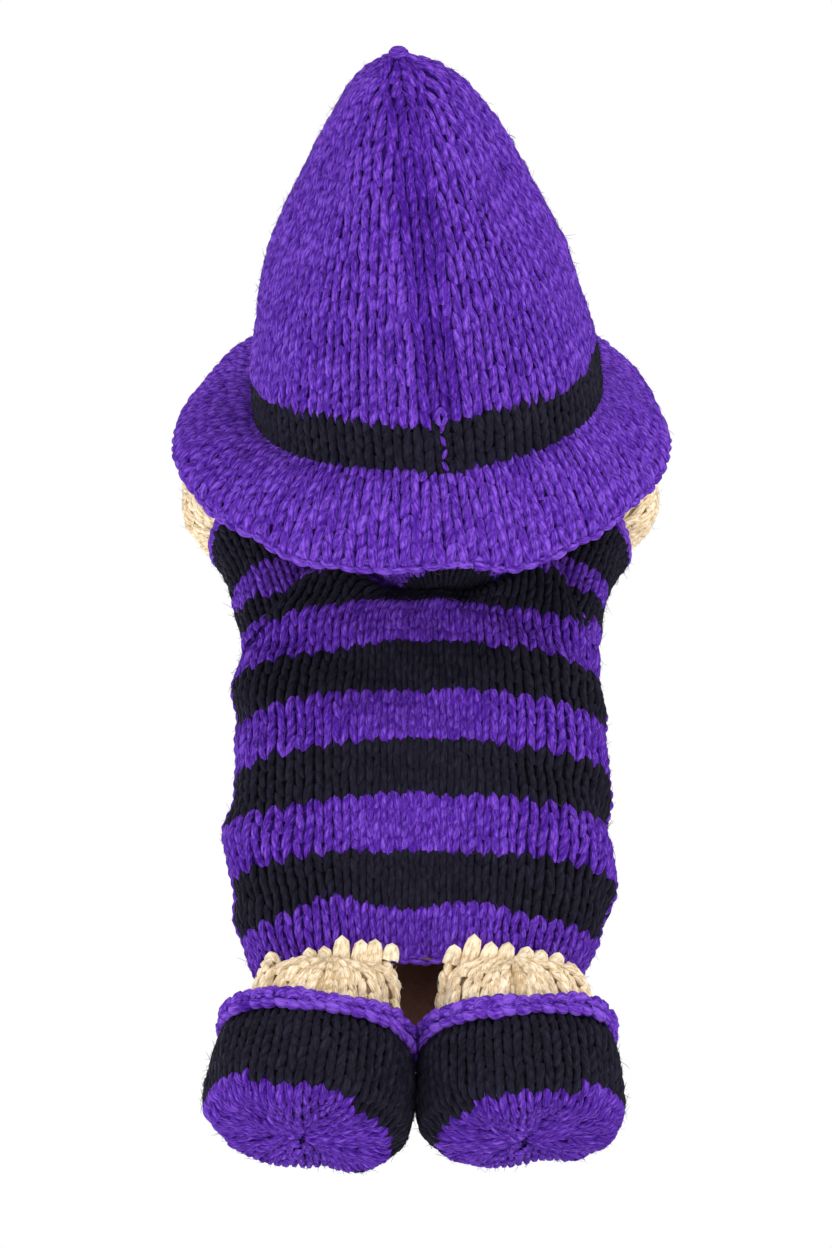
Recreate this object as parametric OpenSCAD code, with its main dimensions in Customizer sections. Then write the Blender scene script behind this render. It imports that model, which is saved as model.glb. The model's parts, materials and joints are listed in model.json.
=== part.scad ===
// Knitted glove puppet: a witch in a striped dress and a brimmed hat.
// Z is up, the puppet faces -Y, and the origin is the middle of the hand opening in the hem.

/* [Dress] */
// Height of the neckline above the hem
dress_h = 125; // [118:1:132]
// Widest width of the dress
dress_w = 112; // [106:1:116]
// Greatest depth of the dress
dress_d = 62; // [56:1:66]
// Thickness of the knitting
knit_t = 3; // [2.5:0.1:3.2]
// Height at which the armholes start
armpit_h = 102; // [100:1:104]

/* [Arms] */
// How far the arms lean outwards, in degrees
arm_out = 16.5; // [12:0.5:18]
// How far the arms lean forwards, in degrees
arm_forward = 24.7; // [15:0.1:26]
// Length of a sleeve from the shoulder to its cuff
sleeve_l = 40; // [36:1:42]
// Radius of the stuffed hand
hand_r = 18.5; // [16:0.5:19]

/* [Head and hat] */
// How far the head leans back, in degrees
head_back = 45; // [34:1:46]
// How far the head leans to the puppet's left, in degrees
head_side = 7; // [0:0.2:9]
// Radius of the head
head_r = 47; // [44:0.5:47]
// Radius of the finger pocket in the head
finger_r = 9.5; // [8.5:0.5:10]
// Radius of the hat at its band
hat_r = 51; // [50.5:0.5:53]
// Height of the hat from its band to its tip
hat_h = 107; // [100:1:116]
// Height of the black band
band_h = 15.4; // [12:0.2:18]
// Radius of the brim's edge
brim_r = 74; // [66:0.5:76]

/* [Legs and shoes] */
// Distance between the middles of the two legs
leg_gap = 52; // [50:1:56]
// Width of a leg
leg_w = 40; // [36:1:42]
// Length of a leg below the hem
leg_l = 23; // [20:1:24]
// Width of a shoe
shoe_w = 57.4; // [54:0.2:58]
// Length of a shoe
shoe_l = 56; // [52:1:58]
// Height of a shoe from its rolled top edge to its sole
shoe_h = 26; // [24:0.5:28]

/* [Hidden] */
$fn = 64;

purple = "#5c379e";
black = "#1e1a24";
cream = "#f0e2c4";
brown = "#48301f";
white = "#f4f2ec";

gap = 0.3; // between a stuffed cover and its filling
yarn_r = 0.9; // sewing and gathering yarn
seam_gap = 0.08; // between a side seam's yarn and the two panels
lining_t = 1;
neck_x = -8; // the neckline sits a little to the puppet's right
neck_y = 2; // and behind the middle
neck_lean = 28; // the neckline slopes down at the back, in degrees
neck_edge_r = 20; // outer radius of the neckline
armhole_top = [0.975 * dress_h, 0.994 * dress_h]; // heights, left and right
shoulder_lift = 11; // the raised arms lift the shoulders by this much
lift_x = 0.27 * dress_w; // and the whole of it beyond this half width
armhole_back = 17; // half depth of an armhole behind the seam
armhole_front = 21.5; // and in front of it

// Half width and half depth of the dress at some heights, as [height, half width, half depth].
dress_curve = [
    [0, 0.81 * dress_w / 2, 0.87 * dress_d / 2],
    [0.11 * dress_h, 0.92 * dress_w / 2, 0.935 * dress_d / 2],
    [0.27 * dress_h, dress_w / 2, 0.98 * dress_d / 2],
    [0.56 * dress_h, 0.97 * dress_w / 2, dress_d / 2],
    [0.81 * dress_h, 0.95 * dress_w / 2, 0.9 * dress_d / 2],
    [0.92 * dress_h, 0.84 * dress_w / 2, 0.8 * dress_d / 2],
    [0.97 * dress_h, 0.56 * dress_w / 2, 0.74 * dress_d / 2],
    [dress_h, neck_edge_r, neck_edge_r]
];

shoulder = [40, 0, 0.9 * dress_h]; // where the left arm turns
neck = [neck_x, neck_y, dress_h]; // where the head nods
band_z = 59.5; // bottom of the hat's band, along the head's axis from the neck
head_z = 9 + head_r; // middle of the head
hip_y = 27; // the legs hang from the back of the hem
shoe_x = [shoe_w / 2 + 2.4, shoe_w / 2 - 0.2]; // left and right
shoe_y = 22;
shoe_turn = [[10, -9, 5], [7, -3, -3]]; // each shoe's [toes down, rolled, toes out], in degrees

// ---- curves and solids made from rings of points ----

function flat(rows) = [for (r = rows) each r];
function ease(t) = let (c = min(max(t, 0), 1)) c * c * (3 - 2 * c);
function span(rows, s) = max([for (k = [0:len(rows) - 2]) if (k == 0 || rows[k][0] <= s) k]);
function slope(rows, i, k) =
    let (a = max(i - 1, 0), b = min(i + 1, len(rows) - 1))
    (rows[b][k] - rows[a][k]) / (rows[b][0] - rows[a][0]);

// A smooth curve through rows of [position, value, value, ...]: value k at position s.
function curve(rows, s, k) =
    let (i = span(rows, s), w = rows[i + 1][0] - rows[i][0], t = (s - rows[i][0]) / w)
    rows[i][k] * (2 * t ^ 3 - 3 * t ^ 2 + 1) + slope(rows, i, k) * w * (t ^ 3 - 2 * t ^ 2 + t)
    + rows[i + 1][k] * (3 * t ^ 2 - 2 * t ^ 3) + slope(rows, i + 1, k) * w * (t ^ 3 - t ^ 2);

// A point of an oval that is squarer than an ellipse as power rises above 2.
function oval(a, b, angle, power) = [
    a * sign(cos(angle)) * abs(cos(angle)) ^ (2 / power),
    b * sign(sin(angle)) * abs(sin(angle)) ^ (2 / power)
];

// Triangles of a grid of points whose first index is base; wrapped grids close on themselves.
function grid(rows, cols, base, wrapped, inward) = [
    for (r = [0:rows - 2], c = [0:cols - (wrapped ? 1 : 2)])
        let (d = (c + 1) % cols, p = base + r * cols, q = p + cols)
        each (inward ? [[p + c, p + d, q + d], [p + c, q + d, q + c]]
            : [[p + c, q + d, p + d], [p + c, q + c, q + d]])
];

// Triangles that join two rows of points, given by their indexes.
function strip(one, two) = [
    for (c = [0:len(one) - 2])
        each [[one[c], two[c + 1], two[c]], [one[c], one[c + 1], two[c + 1]]]
];
function row_of(base, cols, r, wrapped) =
    [for (c = [0:cols - (wrapped ? 0 : 1)]) base + r * cols + c % cols];
function reversed(list) = [for (i = [len(list) - 1:-1:0]) list[i]];

// A wall between two grids of points that run anticlockwise and upwards, closed at its edges.
module wall(outer, inner, wrapped = false) {
    rows = len(outer);
    cols = len(outer[0]);
    n = rows * cols;
    last = cols - 1;
    side = [for (r = [0:rows - 1]) r * cols];
    polyhedron(
        points = concat(flat(outer), flat(inner)),
        faces = concat(
            grid(rows, cols, 0, wrapped, false),
            grid(rows, cols, n, wrapped, true),
            strip(row_of(0, cols, 0, wrapped), row_of(n, cols, 0, wrapped)),
            strip(row_of(n, cols, rows - 1, wrapped), row_of(0, cols, rows - 1, wrapped)),
            wrapped ? [] : strip([for (i = side) n + i], side),
            wrapped ? [] : strip([for (i = side) i + last], [for (i = side) n + i + last])
        )
    );
}

// A solid lofted through rings, each closed at its two ends by a fan from its middle.
module loft(rings) {
    rows = len(rings);
    cols = len(rings[0]);
    n = rows * cols;
    ends = [for (r = [rings[0], rings[rows - 1]]) [for (k = [0:2]) [for (p = r) p[k]] * ones(cols) / cols]];
    polyhedron(
        points = concat(flat(rings), ends),
        faces = concat(
            grid(rows, cols, 0, true, false),
            [for (c = [0:cols - 1]) [n, c, (c + 1) % cols]],
            [for (c = [0:cols - 1]) [n + 1, n - cols + (c + 1) % cols, n - cols + c]]
        )
    );
}
function ones(n) = [for (i = [1:n]) 1];

// ---- the dress ----

function power_at(h) = 2.4 - 0.4 * ease((h / dress_h - 0.8) / 0.2);
function neck_part(h) = ease((h / dress_h - 0.84) / 0.16); // how far the dress has moved over to the neck

// How far the raised arms lift the dress: most at the shoulders, nothing at the neck.
function lifted(h, x) =
    let (height = ease((h / dress_h - 0.8) / 0.14) * (1 - neck_part(h) ^ 4), width = min(1, (x / lift_x) ^ 2))
    shoulder_lift * height * width;

// A point of the dress at a height and angle, inset from its outer surface.
function dress_point(h, angle, inset) =
    let (
        c = min(max(h, 0), dress_h),
        p = oval(curve(dress_curve, c, 1) - inset, curve(dress_curve, c, 2) - inset, angle, power_at(c)),
        x = p.x + neck_x * neck_part(c),
        y = p.y + neck_y * neck_part(c)
    ) [x, y, h + lifted(c, x) - neck_part(c) ^ 2 * tan(neck_lean) * (y - neck_y)];

// The armhole's half depth at a height, nothing above and below it.
function armhole(side, h, depth) =
    let (middle = (armpit_h + armhole_top[side]) / 2, half = (armhole_top[side] - armpit_h) / 2)
    depth * sqrt(max(0, 1 - ((h - middle) / half) ^ 2));
function edge_angle(side, h, depth) =
    asin(min(1, (armhole(side, h, depth) / curve(dress_curve, h, 2)) ^ (power_at(h) / 2)));

panel_rows = concat(
    [for (i = [0:16]) armpit_h * i / 16],
    [for (i = [1:12]) let (t = (1 - cos(15 * i)) / 2) armpit_h + (armhole_top[1] - armpit_h) * t],
    [dress_h]
);
panel_cols = 24;

// Half of the dress, from the side seam that comes first, anticlockwise from above.
module panel(first_side, depth) {
    start = 180 * first_side;
    function side(inset) = [
        for (h = panel_rows)
            let (
                from = start + edge_angle(first_side, h, depth),
                to = start + 180 - edge_angle(1 - first_side, h, depth)
            ) [for (i = [0:panel_cols]) dress_point(h, from + (to - from) * i / panel_cols, inset)]
    ];
    wall(side(0), side(knit_t));
}

module dress_back() { color(purple) panel(0, armhole_back); }
module dress_front() { color(purple) panel(1, armhole_front); }

// A cord laid along a side seam, from the hem to the armhole.
module seam_yarn(side) {
    rows = [for (h = panel_rows) if (h <= armpit_h) [curve(dress_curve, h, 1), h]];
    color(purple)
    mirror([side, 0, 0])
    translate([0, yarn_r, 0])
    rotate([90, 0, 0])
    linear_extrude(2 * yarn_r)
    polygon(concat([for (p = rows) p + [seam_gap, 0]], reversed([for (p = rows) p + [1.5 * yarn_r, 0]])));
}

// A smooth tube inside the dress, a little longer at the front than at the back.
module hand_lining() {
    drop = 4;
    cols = 2 * panel_cols;
    function side(inset) = [
        for (h = concat([-1], panel_rows)) if (h < 0.77 * dress_h)
            [for (i = [0:cols - 1])
                let (p = dress_point(h, 360 * i / cols, inset))
                [p.x, p.y, h < 0 ? -drop * (0.6 - p.y / dress_d) : p.z]]
    ];
    color(brown) wall(side(knit_t + 0.3), side(knit_t + 0.3 + lining_t), wrapped = true);
}

// The cord that gathers the neckline, lying on its edge.
module neckline_tie() {
    color(purple)
    translate(neck)
    rotate([-neck_lean, 0, 0])
    translate([0, 0, yarn_r])
    rotate_extrude()
    translate([neck_edge_r - knit_t / 2, 0])
    circle(yarn_r, $fn = 24);
}

// ---- the head, in a frame whose Z runs from the neck to the tip of the hat ----

module head_frame() { translate(neck) rotate([-head_back, head_side, 0]) children(); }

tube_r = finger_r + 2; // the finger tube's outside
tube_gap = 0.4; // between the tube and the head's cover
tube_top = 44;
tube_bottom = -12;

module neck_tube() {
    color(cream)
    head_frame()
    difference() {
        translate([0, 0, tube_bottom]) cylinder(r = tube_r, h = tube_top - tube_bottom);
        translate([0, 0, tube_bottom - 1]) cylinder(r = finger_r, h = tube_top - tube_bottom + 2);
    }
}

// The head's outline from its neck to its crown, at a distance inside the knitted cover.
function head_arc(inset) =
    let (r = head_r - inset, start = asin((tube_r + tube_gap + knit_t - inset) / r), steps = 24)
    [for (i = [0:steps]) let (a = start + (180 - start) * i / steps) [r * sin(a), head_z - r * cos(a)]];

module head_cover() {
    neck_in = tube_r + tube_gap;
    neck_bottom = 2.5;
    color(cream)
    head_frame()
    rotate_extrude()
    polygon(concat(
        [[neck_in, neck_bottom], [neck_in + knit_t, neck_bottom]],
        head_arc(0),
        reversed(head_arc(knit_t))
    ));
}

module head_stuffing() {
    color(white)
    head_frame()
    difference() {
        translate([0, 0, head_z]) sphere(head_r - knit_t - gap);
        translate([0, 0, -1]) cylinder(r = tube_r + gap, h = tube_top + 2);
    }
}

// A round pad on the face: across from its middle, and down from the head's equator, in degrees.
module face_pad(across, down, pad_r, height) {
    back_r = head_r + 0.05;
    function back(r) = sqrt(back_r ^ 2 - r ^ 2);
    head_frame()
    translate([0, 0, head_z])
    rotate([90 + down, 0, across])
    rotate_extrude()
    polygon(concat(
        [for (i = [0:6]) [pad_r * i / 6, back(pad_r * i / 6)]],
        [for (i = [1:12]) [pad_r * cos(7.5 * i), back(pad_r) + height * sin(7.5 * i)]]
    ));
}

eye_across = 21;
eye_down = 19;
eye_r = 4;
eye_h = 3;
nose_down = 29;
nose_r = 6;
nose_h = 7;
module left_eye() { color(black) face_pad(eye_across, eye_down, eye_r, eye_h); }
module right_eye() { color(black) face_pad(-eye_across, eye_down, eye_r, eye_h); }
module nose() { color(cream) face_pad(0, nose_down, nose_r, nose_h); }

// A smile: an arc of yarn lying on the head.
module mouth_yarn() {
    half_width = 15; // degrees round the head
    down = 34; // the middle of its circle is this far below the head's equator, in degrees
    arc = 130; // how much of that circle it is
    path_r = head_r + yarn_r + 0.02;
    color("#8c2f39")
    head_frame()
    translate([0, 0, head_z])
    rotate([90 + down, 0, 0])
    translate([0, 0, path_r * cos(half_width)])
    rotate_extrude(angle = arc, start = 270 - arc / 2)
    translate([path_r * sin(half_width), 0])
    circle(yarn_r, $fn = 24);
}

// Outside of the hat above its band, as [height above the band's bottom, radius].
hat_curve = [
    [0, hat_r], [0.12 * hat_h, 0.996 * hat_r], [0.28 * hat_h, 0.93 * hat_r], [0.41 * hat_h, 0.863 * hat_r],
    [0.54 * hat_h, 0.74 * hat_r], [0.685 * hat_h, 0.59 * hat_r], [0.84 * hat_h, 0.415 * hat_r],
    [0.935 * hat_h, 0.25 * hat_r], [hat_h, 0.02 * hat_r]
];
crown_rows = [for (i = [0:20]) band_h + (hat_h - band_h) * sin(90 * i / 20)];
function hat_side(rows, inset) = [
    for (h = rows)
        [max(0, curve(hat_curve, h, 1) - inset), band_z + h - inset * ease((h / hat_h - 0.8) / 0.2)]
];

module hat_crown() {
    color(purple)
    head_frame()
    rotate_extrude()
    polygon(concat(hat_side(crown_rows, 0), reversed(hat_side(crown_rows, knit_t))));
}

module hat_band() {
    rows = [0, band_h / 2, band_h];
    color(black)
    head_frame()
    rotate_extrude()
    polygon(concat(hat_side(rows, 0), reversed(hat_side(rows, knit_t))));
}

module hat_stuffing() {
    rows = concat([band_h], [for (h = crown_rows) if (h > band_h) h]);
    color(white)
    head_frame()
    difference() {
        rotate_extrude() polygon(concat([[0, band_z + band_h]], hat_side(rows, knit_t + gap)));
        translate([0, 0, head_z]) sphere(head_r + gap);
    }
}

// The brim runs from the band's bottom edge to a ring that is wider, lower and tipped back.
brim_forward = 8.2; // how far the rim's middle is in front of the hat's
brim_drop = 12.5; // and below the band
brim_tip = 9; // and how far the rim is tipped down at the back, in degrees
brim_side = 3.2; // the rim's middle is also to the puppet's left of the hat's
brim_level = 3.5; // and the rim leans less than the hat, by this many degrees
module hat_brim() {
    cols = 72;
    rows = 6;
    function at(angle, t, lift) =
        let (
            from = [hat_r * cos(angle), hat_r * sin(angle), -0.02],
            x = brim_r * cos(angle),
            y = brim_r * sin(angle),
            low = brim_drop + y * sin(brim_tip) - x * sin(brim_level),
            to = [x + brim_side, y * cos(brim_tip) - brim_forward, -low],
            bulge = 2.5 * sin(180 * t)
        ) from + (to - from) * t + [0, 0, band_z + bulge + lift]
        - [cos(angle), sin(angle), 0] * (lift < 0 ? knit_t * (1 - t) : 0);
    function side(lift) = [
        for (r = [0:rows]) [for (i = [0:cols - 1]) at(360 * i / cols, 1 - r / rows, lift)]
    ];
    color(purple) head_frame() wall(side(0), side(-knit_t), wrapped = true);
}

// The sewn seam up the back of the hat, and the yarn that closes its tip.
module hat_seam_yarn() {
    rows = [for (h = concat([1, band_h / 2], crown_rows)) if (h < 0.97 * hat_h) h];
    color(purple)
    head_frame()
    translate([yarn_r, 0, 0])
    rotate([90, 0, 90])
    translate([0, 0, -2 * yarn_r])
    linear_extrude(2 * yarn_r)
    polygon(concat(
        [for (p = hat_side(rows, 0)) p + [seam_gap, 0]],
        reversed([for (p = hat_side(rows, 0)) p + [1.5 * yarn_r, 0]])
    ));
}

module hat_tip_yarn() {
    knot_r = 2.6;
    knot_h = 2.2;
    color(purple)
    head_frame()
    translate([0, 0, band_z + hat_h + 0.05])
    rotate_extrude()
    polygon(concat([[0, 0]], [for (a = [0:15:90]) [knot_r * cos(a), knot_h * sin(a)]]));
}

// ---- the arms; the left one is on +X ----

module arm_frame(side) {
    mirror([side, 0, 0]) translate(shoulder) rotate([arm_forward, arm_out, 0]) children();
}

sleeve_in = 10.4; // inner radius, for a finger
sleeve_r = 12.7; // outer radius in the armhole
cuff_r = 15.2; // outer radius of the rolled cuff
module sleeve(side) {
    color(black)
    arm_frame(side)
    rotate_extrude()
    polygon([
        [sleeve_in - 1, -5], [sleeve_in + 1.4, -5], [sleeve_r, -1], [sleeve_r, 12],
        [cuff_r - 1.1, sleeve_l - 8], [cuff_r - 0.8, sleeve_l - 4], [cuff_r, sleeve_l - 3],
        [cuff_r, sleeve_l - 1], [cuff_r - 1, sleeve_l],
        [sleeve_in + 1, sleeve_l], [sleeve_in + 0.6, sleeve_l - 16], [sleeve_in, 8], [sleeve_in - 0.4, -1]
    ]);
}

wrist_r = 9;
wrist_z = sleeve_l - 6; // bottom of the hand, inside the cuff
hand_z = sleeve_l - 1 + hand_r; // middle of the hand
function hand_arc(inset) =
    let (r = hand_r - inset, start = asin((wrist_r - inset) / r), steps = 16)
    [for (i = [0:steps]) let (a = start + (180 - start) * i / steps) [r * sin(a), hand_z - r * cos(a)]];

module hand(side) {
    color(cream)
    arm_frame(side)
    rotate_extrude()
    polygon(concat(
        [[0, wrist_z], [wrist_r, wrist_z]],
        hand_arc(0),
        reversed(hand_arc(knit_t)),
        [[wrist_r - knit_t, wrist_z + knit_t], [0, wrist_z + knit_t]]
    ));
}

module hand_stuffing(side) {
    inset = knit_t + gap;
    color(white)
    arm_frame(side)
    rotate_extrude()
    polygon(concat(
        [[0, wrist_z + inset], [wrist_r - inset, wrist_z + inset]],
        hand_arc(inset)
    ));
}

module wrist_yarn(side) {
    thin_r = 0.75;
    color(cream)
    arm_frame(side)
    translate([0, 0, sleeve_l - 3])
    rotate_extrude()
    translate([wrist_r + thin_r + 0.05, 0])
    circle(thin_r, $fn = 24);
}

// ---- the legs and shoes; the left ones are on +X ----

// A leg from the hem down, as [drop, half width, half depth, middle in Y].
leg_curve = [
    [1.2, leg_w / 2 - 1, 2, hip_y], [4, leg_w / 2 - 0.4, 7, hip_y - 0.4], [9, leg_w / 2, 11.5, hip_y - 1.6],
    [15, leg_w / 2 + 0.2, 14, hip_y - 2.6], [leg_l, leg_w / 2 - 0.4, 15.5, hip_y - 5]
];
function leg_ring(side, drop, inset) = [
    for (i = [0:39])
        let (
            p = oval(curve(leg_curve, drop, 1) - inset,
                curve(leg_curve, drop, 2) - inset * min(1, 0.2 + 0.07 * drop), 9 * i, 2.3),
            lean = ease(drop / leg_l),
            tilt = tan(shoe_turn[side].x) * p.y - tan(shoe_turn[side].y) * p.x,
            foot_x = shoe_x[side] + sin(shoe_turn[side].y) * shoe_h / 2
        ) [
            leg_gap / 2 + (foot_x - leg_gap / 2) * lean + p.x,
            curve(leg_curve, drop, 3) + p.y,
            tilt * lean - drop
        ]
];
leg_rows = [for (i = [0:7]) leg_l - (leg_l - 1.2) * i / 7];

module leg(side) {
    color(cream)
    mirror([side, 0, 0])
    wall(
        [for (d = leg_rows) leg_ring(side, d, 0)],
        [for (d = leg_rows) leg_ring(side, d, knit_t)],
        wrapped = true
    );
}

module leg_stuffing(side) {
    rows = [for (i = [0:5]) leg_l - 0.1 - (leg_l - 4.5) * i / 5];
    color(white)
    mirror([side, 0, 0])
    loft([for (d = rows) leg_ring(side, d, knit_t + gap)]);
}

// The leg's top edge, sewn flat over the outside of the hem.
module leg_edge(side) {
    edge_t = 2.4;
    top = 4.5;
    cols = 14;
    function half_angle(x, inset) =
        acos(min(1, (x / (curve(dress_curve, 0, 1) - inset)) ^ (power_at(0) / 2)));
    function at(inset) =
        let (a = half_angle(leg_gap / 2 + leg_w / 2 - 2, 0), b = half_angle(leg_gap / 2 - leg_w / 2 + 1, 0))
        [for (h = [0, top / 2, top]) [for (i = [0:cols]) dress_point(h, a + (b - a) * i / cols, inset)]];
    color(cream) mirror([side, 0, 0]) wall(at(-edge_t), at(-0.05));
}

// The shoe's outline below its top edge, as [drop, half width, half length].
shoe_top = leg_l - 1; // below the hem
sole_top = 0.76 * shoe_h; // below the shoe's top edge
shoe_curve = [
    [0, 0.9 * shoe_w / 2, 0.9 * shoe_l / 2], [0.3 * shoe_h, 0.98 * shoe_w / 2, 0.98 * shoe_l / 2],
    [0.6 * shoe_h, shoe_w / 2, shoe_l / 2], [0.85 * shoe_h, 0.985 * shoe_w / 2, 0.985 * shoe_l / 2],
    [shoe_h, 0.95 * shoe_w / 2, 0.95 * shoe_l / 2]
];
function shoe_ring(drop, inset) = [
    for (i = [0:47])
        let (p = oval(curve(shoe_curve, drop, 1) - inset, curve(shoe_curve, drop, 2) - inset, 7.5 * i, 2.25))
        [p.x, p.y, -drop]
];
module shoe_frame(side) {
    mirror([side, 0, 0])
    translate([shoe_x[side], shoe_y, -shoe_top - shoe_h / 2])
    rotate(shoe_turn[side])
    translate([0, 0, shoe_h / 2])
    children();
}

module shoe_upper(side) {
    rows = [for (i = [0:6]) sole_top - (sole_top - 2) * i / 6];
    color(black)
    shoe_frame(side)
    wall([for (d = rows) shoe_ring(d, 0)], [for (d = rows) shoe_ring(d, knit_t)], wrapped = true);
}

// The rolled purple edge round the top of the shoe.
module shoe_cuff(side) {
    cols = 48;
    cord = 3;
    sink = 1.95; // the cord's underside, below the top of the upper
    steps = 10;
    function at(i, j) =
        let (
            p = shoe_ring(0, knit_t / 2)[i],
            out = [p.x, p.y, 0] / norm([p.x, p.y]),
            a = 360 * j / steps
        ) [p.x, p.y, cord - sink] + (out * cos(a) + [0, 0, 1] * sin(a)) * cord;
    points = [for (i = [0:cols - 1]) [for (j = [0:steps - 1]) at(i, j)]];
    color(purple)
    shoe_frame(side)
    polyhedron(
        points = flat(points),
        faces = [
            for (i = [0:cols - 1], j = [0:steps - 1])
                let (n = (i + 1) % cols * steps, m = i * steps, k = (j + 1) % steps)
                each [[m + j, n + k, n + j], [m + j, m + k, n + k]]
        ]
    );
}

// The sole is a shallow stuffed cup: a few rows of side, then a domed bottom gathered in the middle.
sole_dome = 3; // how far the middle of the sole stands out below its edge
module shoe_sole(side) {
    function bottom_ring(t) = [
        for (p = shoe_ring(shoe_h, 0)) [p.x * cos(t) ^ 0.6, p.y * cos(t) ^ 0.6, -shoe_h - sole_dome * sin(t)]
    ];
    sides = [for (i = [0:2]) shoe_ring(shoe_h - (shoe_h - sole_top - 0.02) * i / 2, 0)];
    color(purple) shoe_frame(side) loft(concat([for (t = [78:-13:13]) bottom_ring(t)], sides));
}

module shoe_stuffing(side) {
    rows = [for (i = [0:6]) sole_top - 0.05 - (sole_top - 5.2) * i / 6];
    color(white) shoe_frame(side) loft([for (d = rows) shoe_ring(d, knit_t + gap)]);
}

dress_back();
dress_front();
seam_yarn(0);  // left_seam_yarn
seam_yarn(1);  // right_seam_yarn
hand_lining();
neckline_tie();
neck_tube();
head_cover();
head_stuffing();
left_eye();
right_eye();
nose();
mouth_yarn();
hat_brim();
hat_band();
hat_crown();
hat_stuffing();
hat_seam_yarn();
hat_tip_yarn();
sleeve(0);  // left_sleeve
sleeve(1);  // right_sleeve
hand(0);  // left_hand
hand(1);  // right_hand
hand_stuffing(0);  // left_hand_stuffing
hand_stuffing(1);  // right_hand_stuffing
wrist_yarn(0);  // left_wrist_yarn
wrist_yarn(1);  // right_wrist_yarn
leg(0);  // left_leg
leg(1);  // right_leg
leg_edge(0);  // left_leg_edge
leg_edge(1);  // right_leg_edge
leg_stuffing(0);  // left_leg_stuffing
leg_stuffing(1);  // right_leg_stuffing
shoe_cuff(0);  // left_shoe_cuff
shoe_cuff(1);  // right_shoe_cuff
shoe_upper(0);  // left_shoe_upper
shoe_upper(1);  // right_shoe_upper
shoe_sole(0);  // left_shoe_sole
shoe_sole(1);  // right_shoe_sole
shoe_stuffing(0);  // left_shoe_stuffing
shoe_stuffing(1);  // right_shoe_stuffing
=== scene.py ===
import json
import math

import bpy
import numpy as np
from numpy import (arange, array, clip, concatenate, cos, cross, interp, linspace, pi, repeat, sin, stack,
                   tile)
from numpy.linalg import norm
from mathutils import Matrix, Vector
from mathutils.bvhtree import BVHTree


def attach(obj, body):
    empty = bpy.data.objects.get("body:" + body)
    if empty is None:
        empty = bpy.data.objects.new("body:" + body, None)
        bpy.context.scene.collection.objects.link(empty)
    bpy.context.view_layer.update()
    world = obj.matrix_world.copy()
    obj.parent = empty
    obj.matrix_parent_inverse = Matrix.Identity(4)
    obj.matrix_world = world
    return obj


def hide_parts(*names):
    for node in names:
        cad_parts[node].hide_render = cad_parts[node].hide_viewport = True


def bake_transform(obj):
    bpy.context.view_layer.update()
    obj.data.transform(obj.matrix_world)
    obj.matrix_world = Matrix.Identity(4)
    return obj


# A knitted glove puppet. Every visible stitch is a pair of yarn legs laid on the surface of a CAD node.
# Lengths are in millimetres until a mesh is written.

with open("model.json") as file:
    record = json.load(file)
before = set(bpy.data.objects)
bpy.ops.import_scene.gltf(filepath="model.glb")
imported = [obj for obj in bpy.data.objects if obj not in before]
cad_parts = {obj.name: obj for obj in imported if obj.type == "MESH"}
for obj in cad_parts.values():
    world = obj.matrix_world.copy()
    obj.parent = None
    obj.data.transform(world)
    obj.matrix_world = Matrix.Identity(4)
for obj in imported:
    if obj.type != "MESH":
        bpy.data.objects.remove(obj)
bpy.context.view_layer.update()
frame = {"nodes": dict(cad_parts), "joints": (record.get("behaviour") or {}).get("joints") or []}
joints = {j["name"]: j for j in frame["joints"]}
rng = np.random.default_rng(7)
MM = 0.001
TAU = 2 * pi
FAR = 300  # well outside the puppet
UP = array([0.0, 0.0, 1.0])


# ---- frames and surfaces ----

def unit(v):
    return v / np.maximum(norm(v, axis=-1, keepdims=True), 1e-9)


def joint_at(name):
    return array(joints[name]["pos_m"], float) / MM


class Axes:
    """A local frame: origin and rows X, Y, Z. X lies in the world's XZ plane unless it is given."""

    def __init__(self, origin, z, x=None):
        self.o = array(origin, float)
        z = unit(array(z, float))
        x = array([z[2], 0.0, -z[0]]) if x is None else array(x, float)
        x = unit(x - z * (x @ z))
        self.m = array([x, cross(z, x), z])

    def out(self, p):
        return self.o + np.asarray(p, float) @ self.m

    def turn(self, d):
        return np.asarray(d, float) @ self.m

    def local(self, p):
        return (np.asarray(p, float) - self.o) @ self.m.T

    def ring(self, a, r, z):
        """Points at angles a, at a distance r from the local Z axis and at height z."""
        return self.out(stack([r * cos(a), r * sin(a), z + 0 * a], -1))


def points(node):
    me = frame["nodes"][node].data
    co = np.zeros(len(me.vertices) * 3)
    me.vertices.foreach_get("co", co)
    return co.reshape(-1, 3) / MM


def local_box(node, axes):
    q = axes.local(points(node))
    return q.min(0), q.max(0)


def all_round(s, cols):
    """Grids of s and p, with a row for each s and cols columns all round."""
    return np.meshgrid(s, arange(cols) / cols, indexing="ij")


def smooth(grid, times):
    for _ in range(times):
        g = grid.copy()
        g[1:-1] = (grid[:-2] + 2 * grid[1:-1] + grid[2:]) / 4
        grid = (np.roll(g, 1, 1) + 2 * g + np.roll(g, -1, 1)) / 4
    return grid


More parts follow.
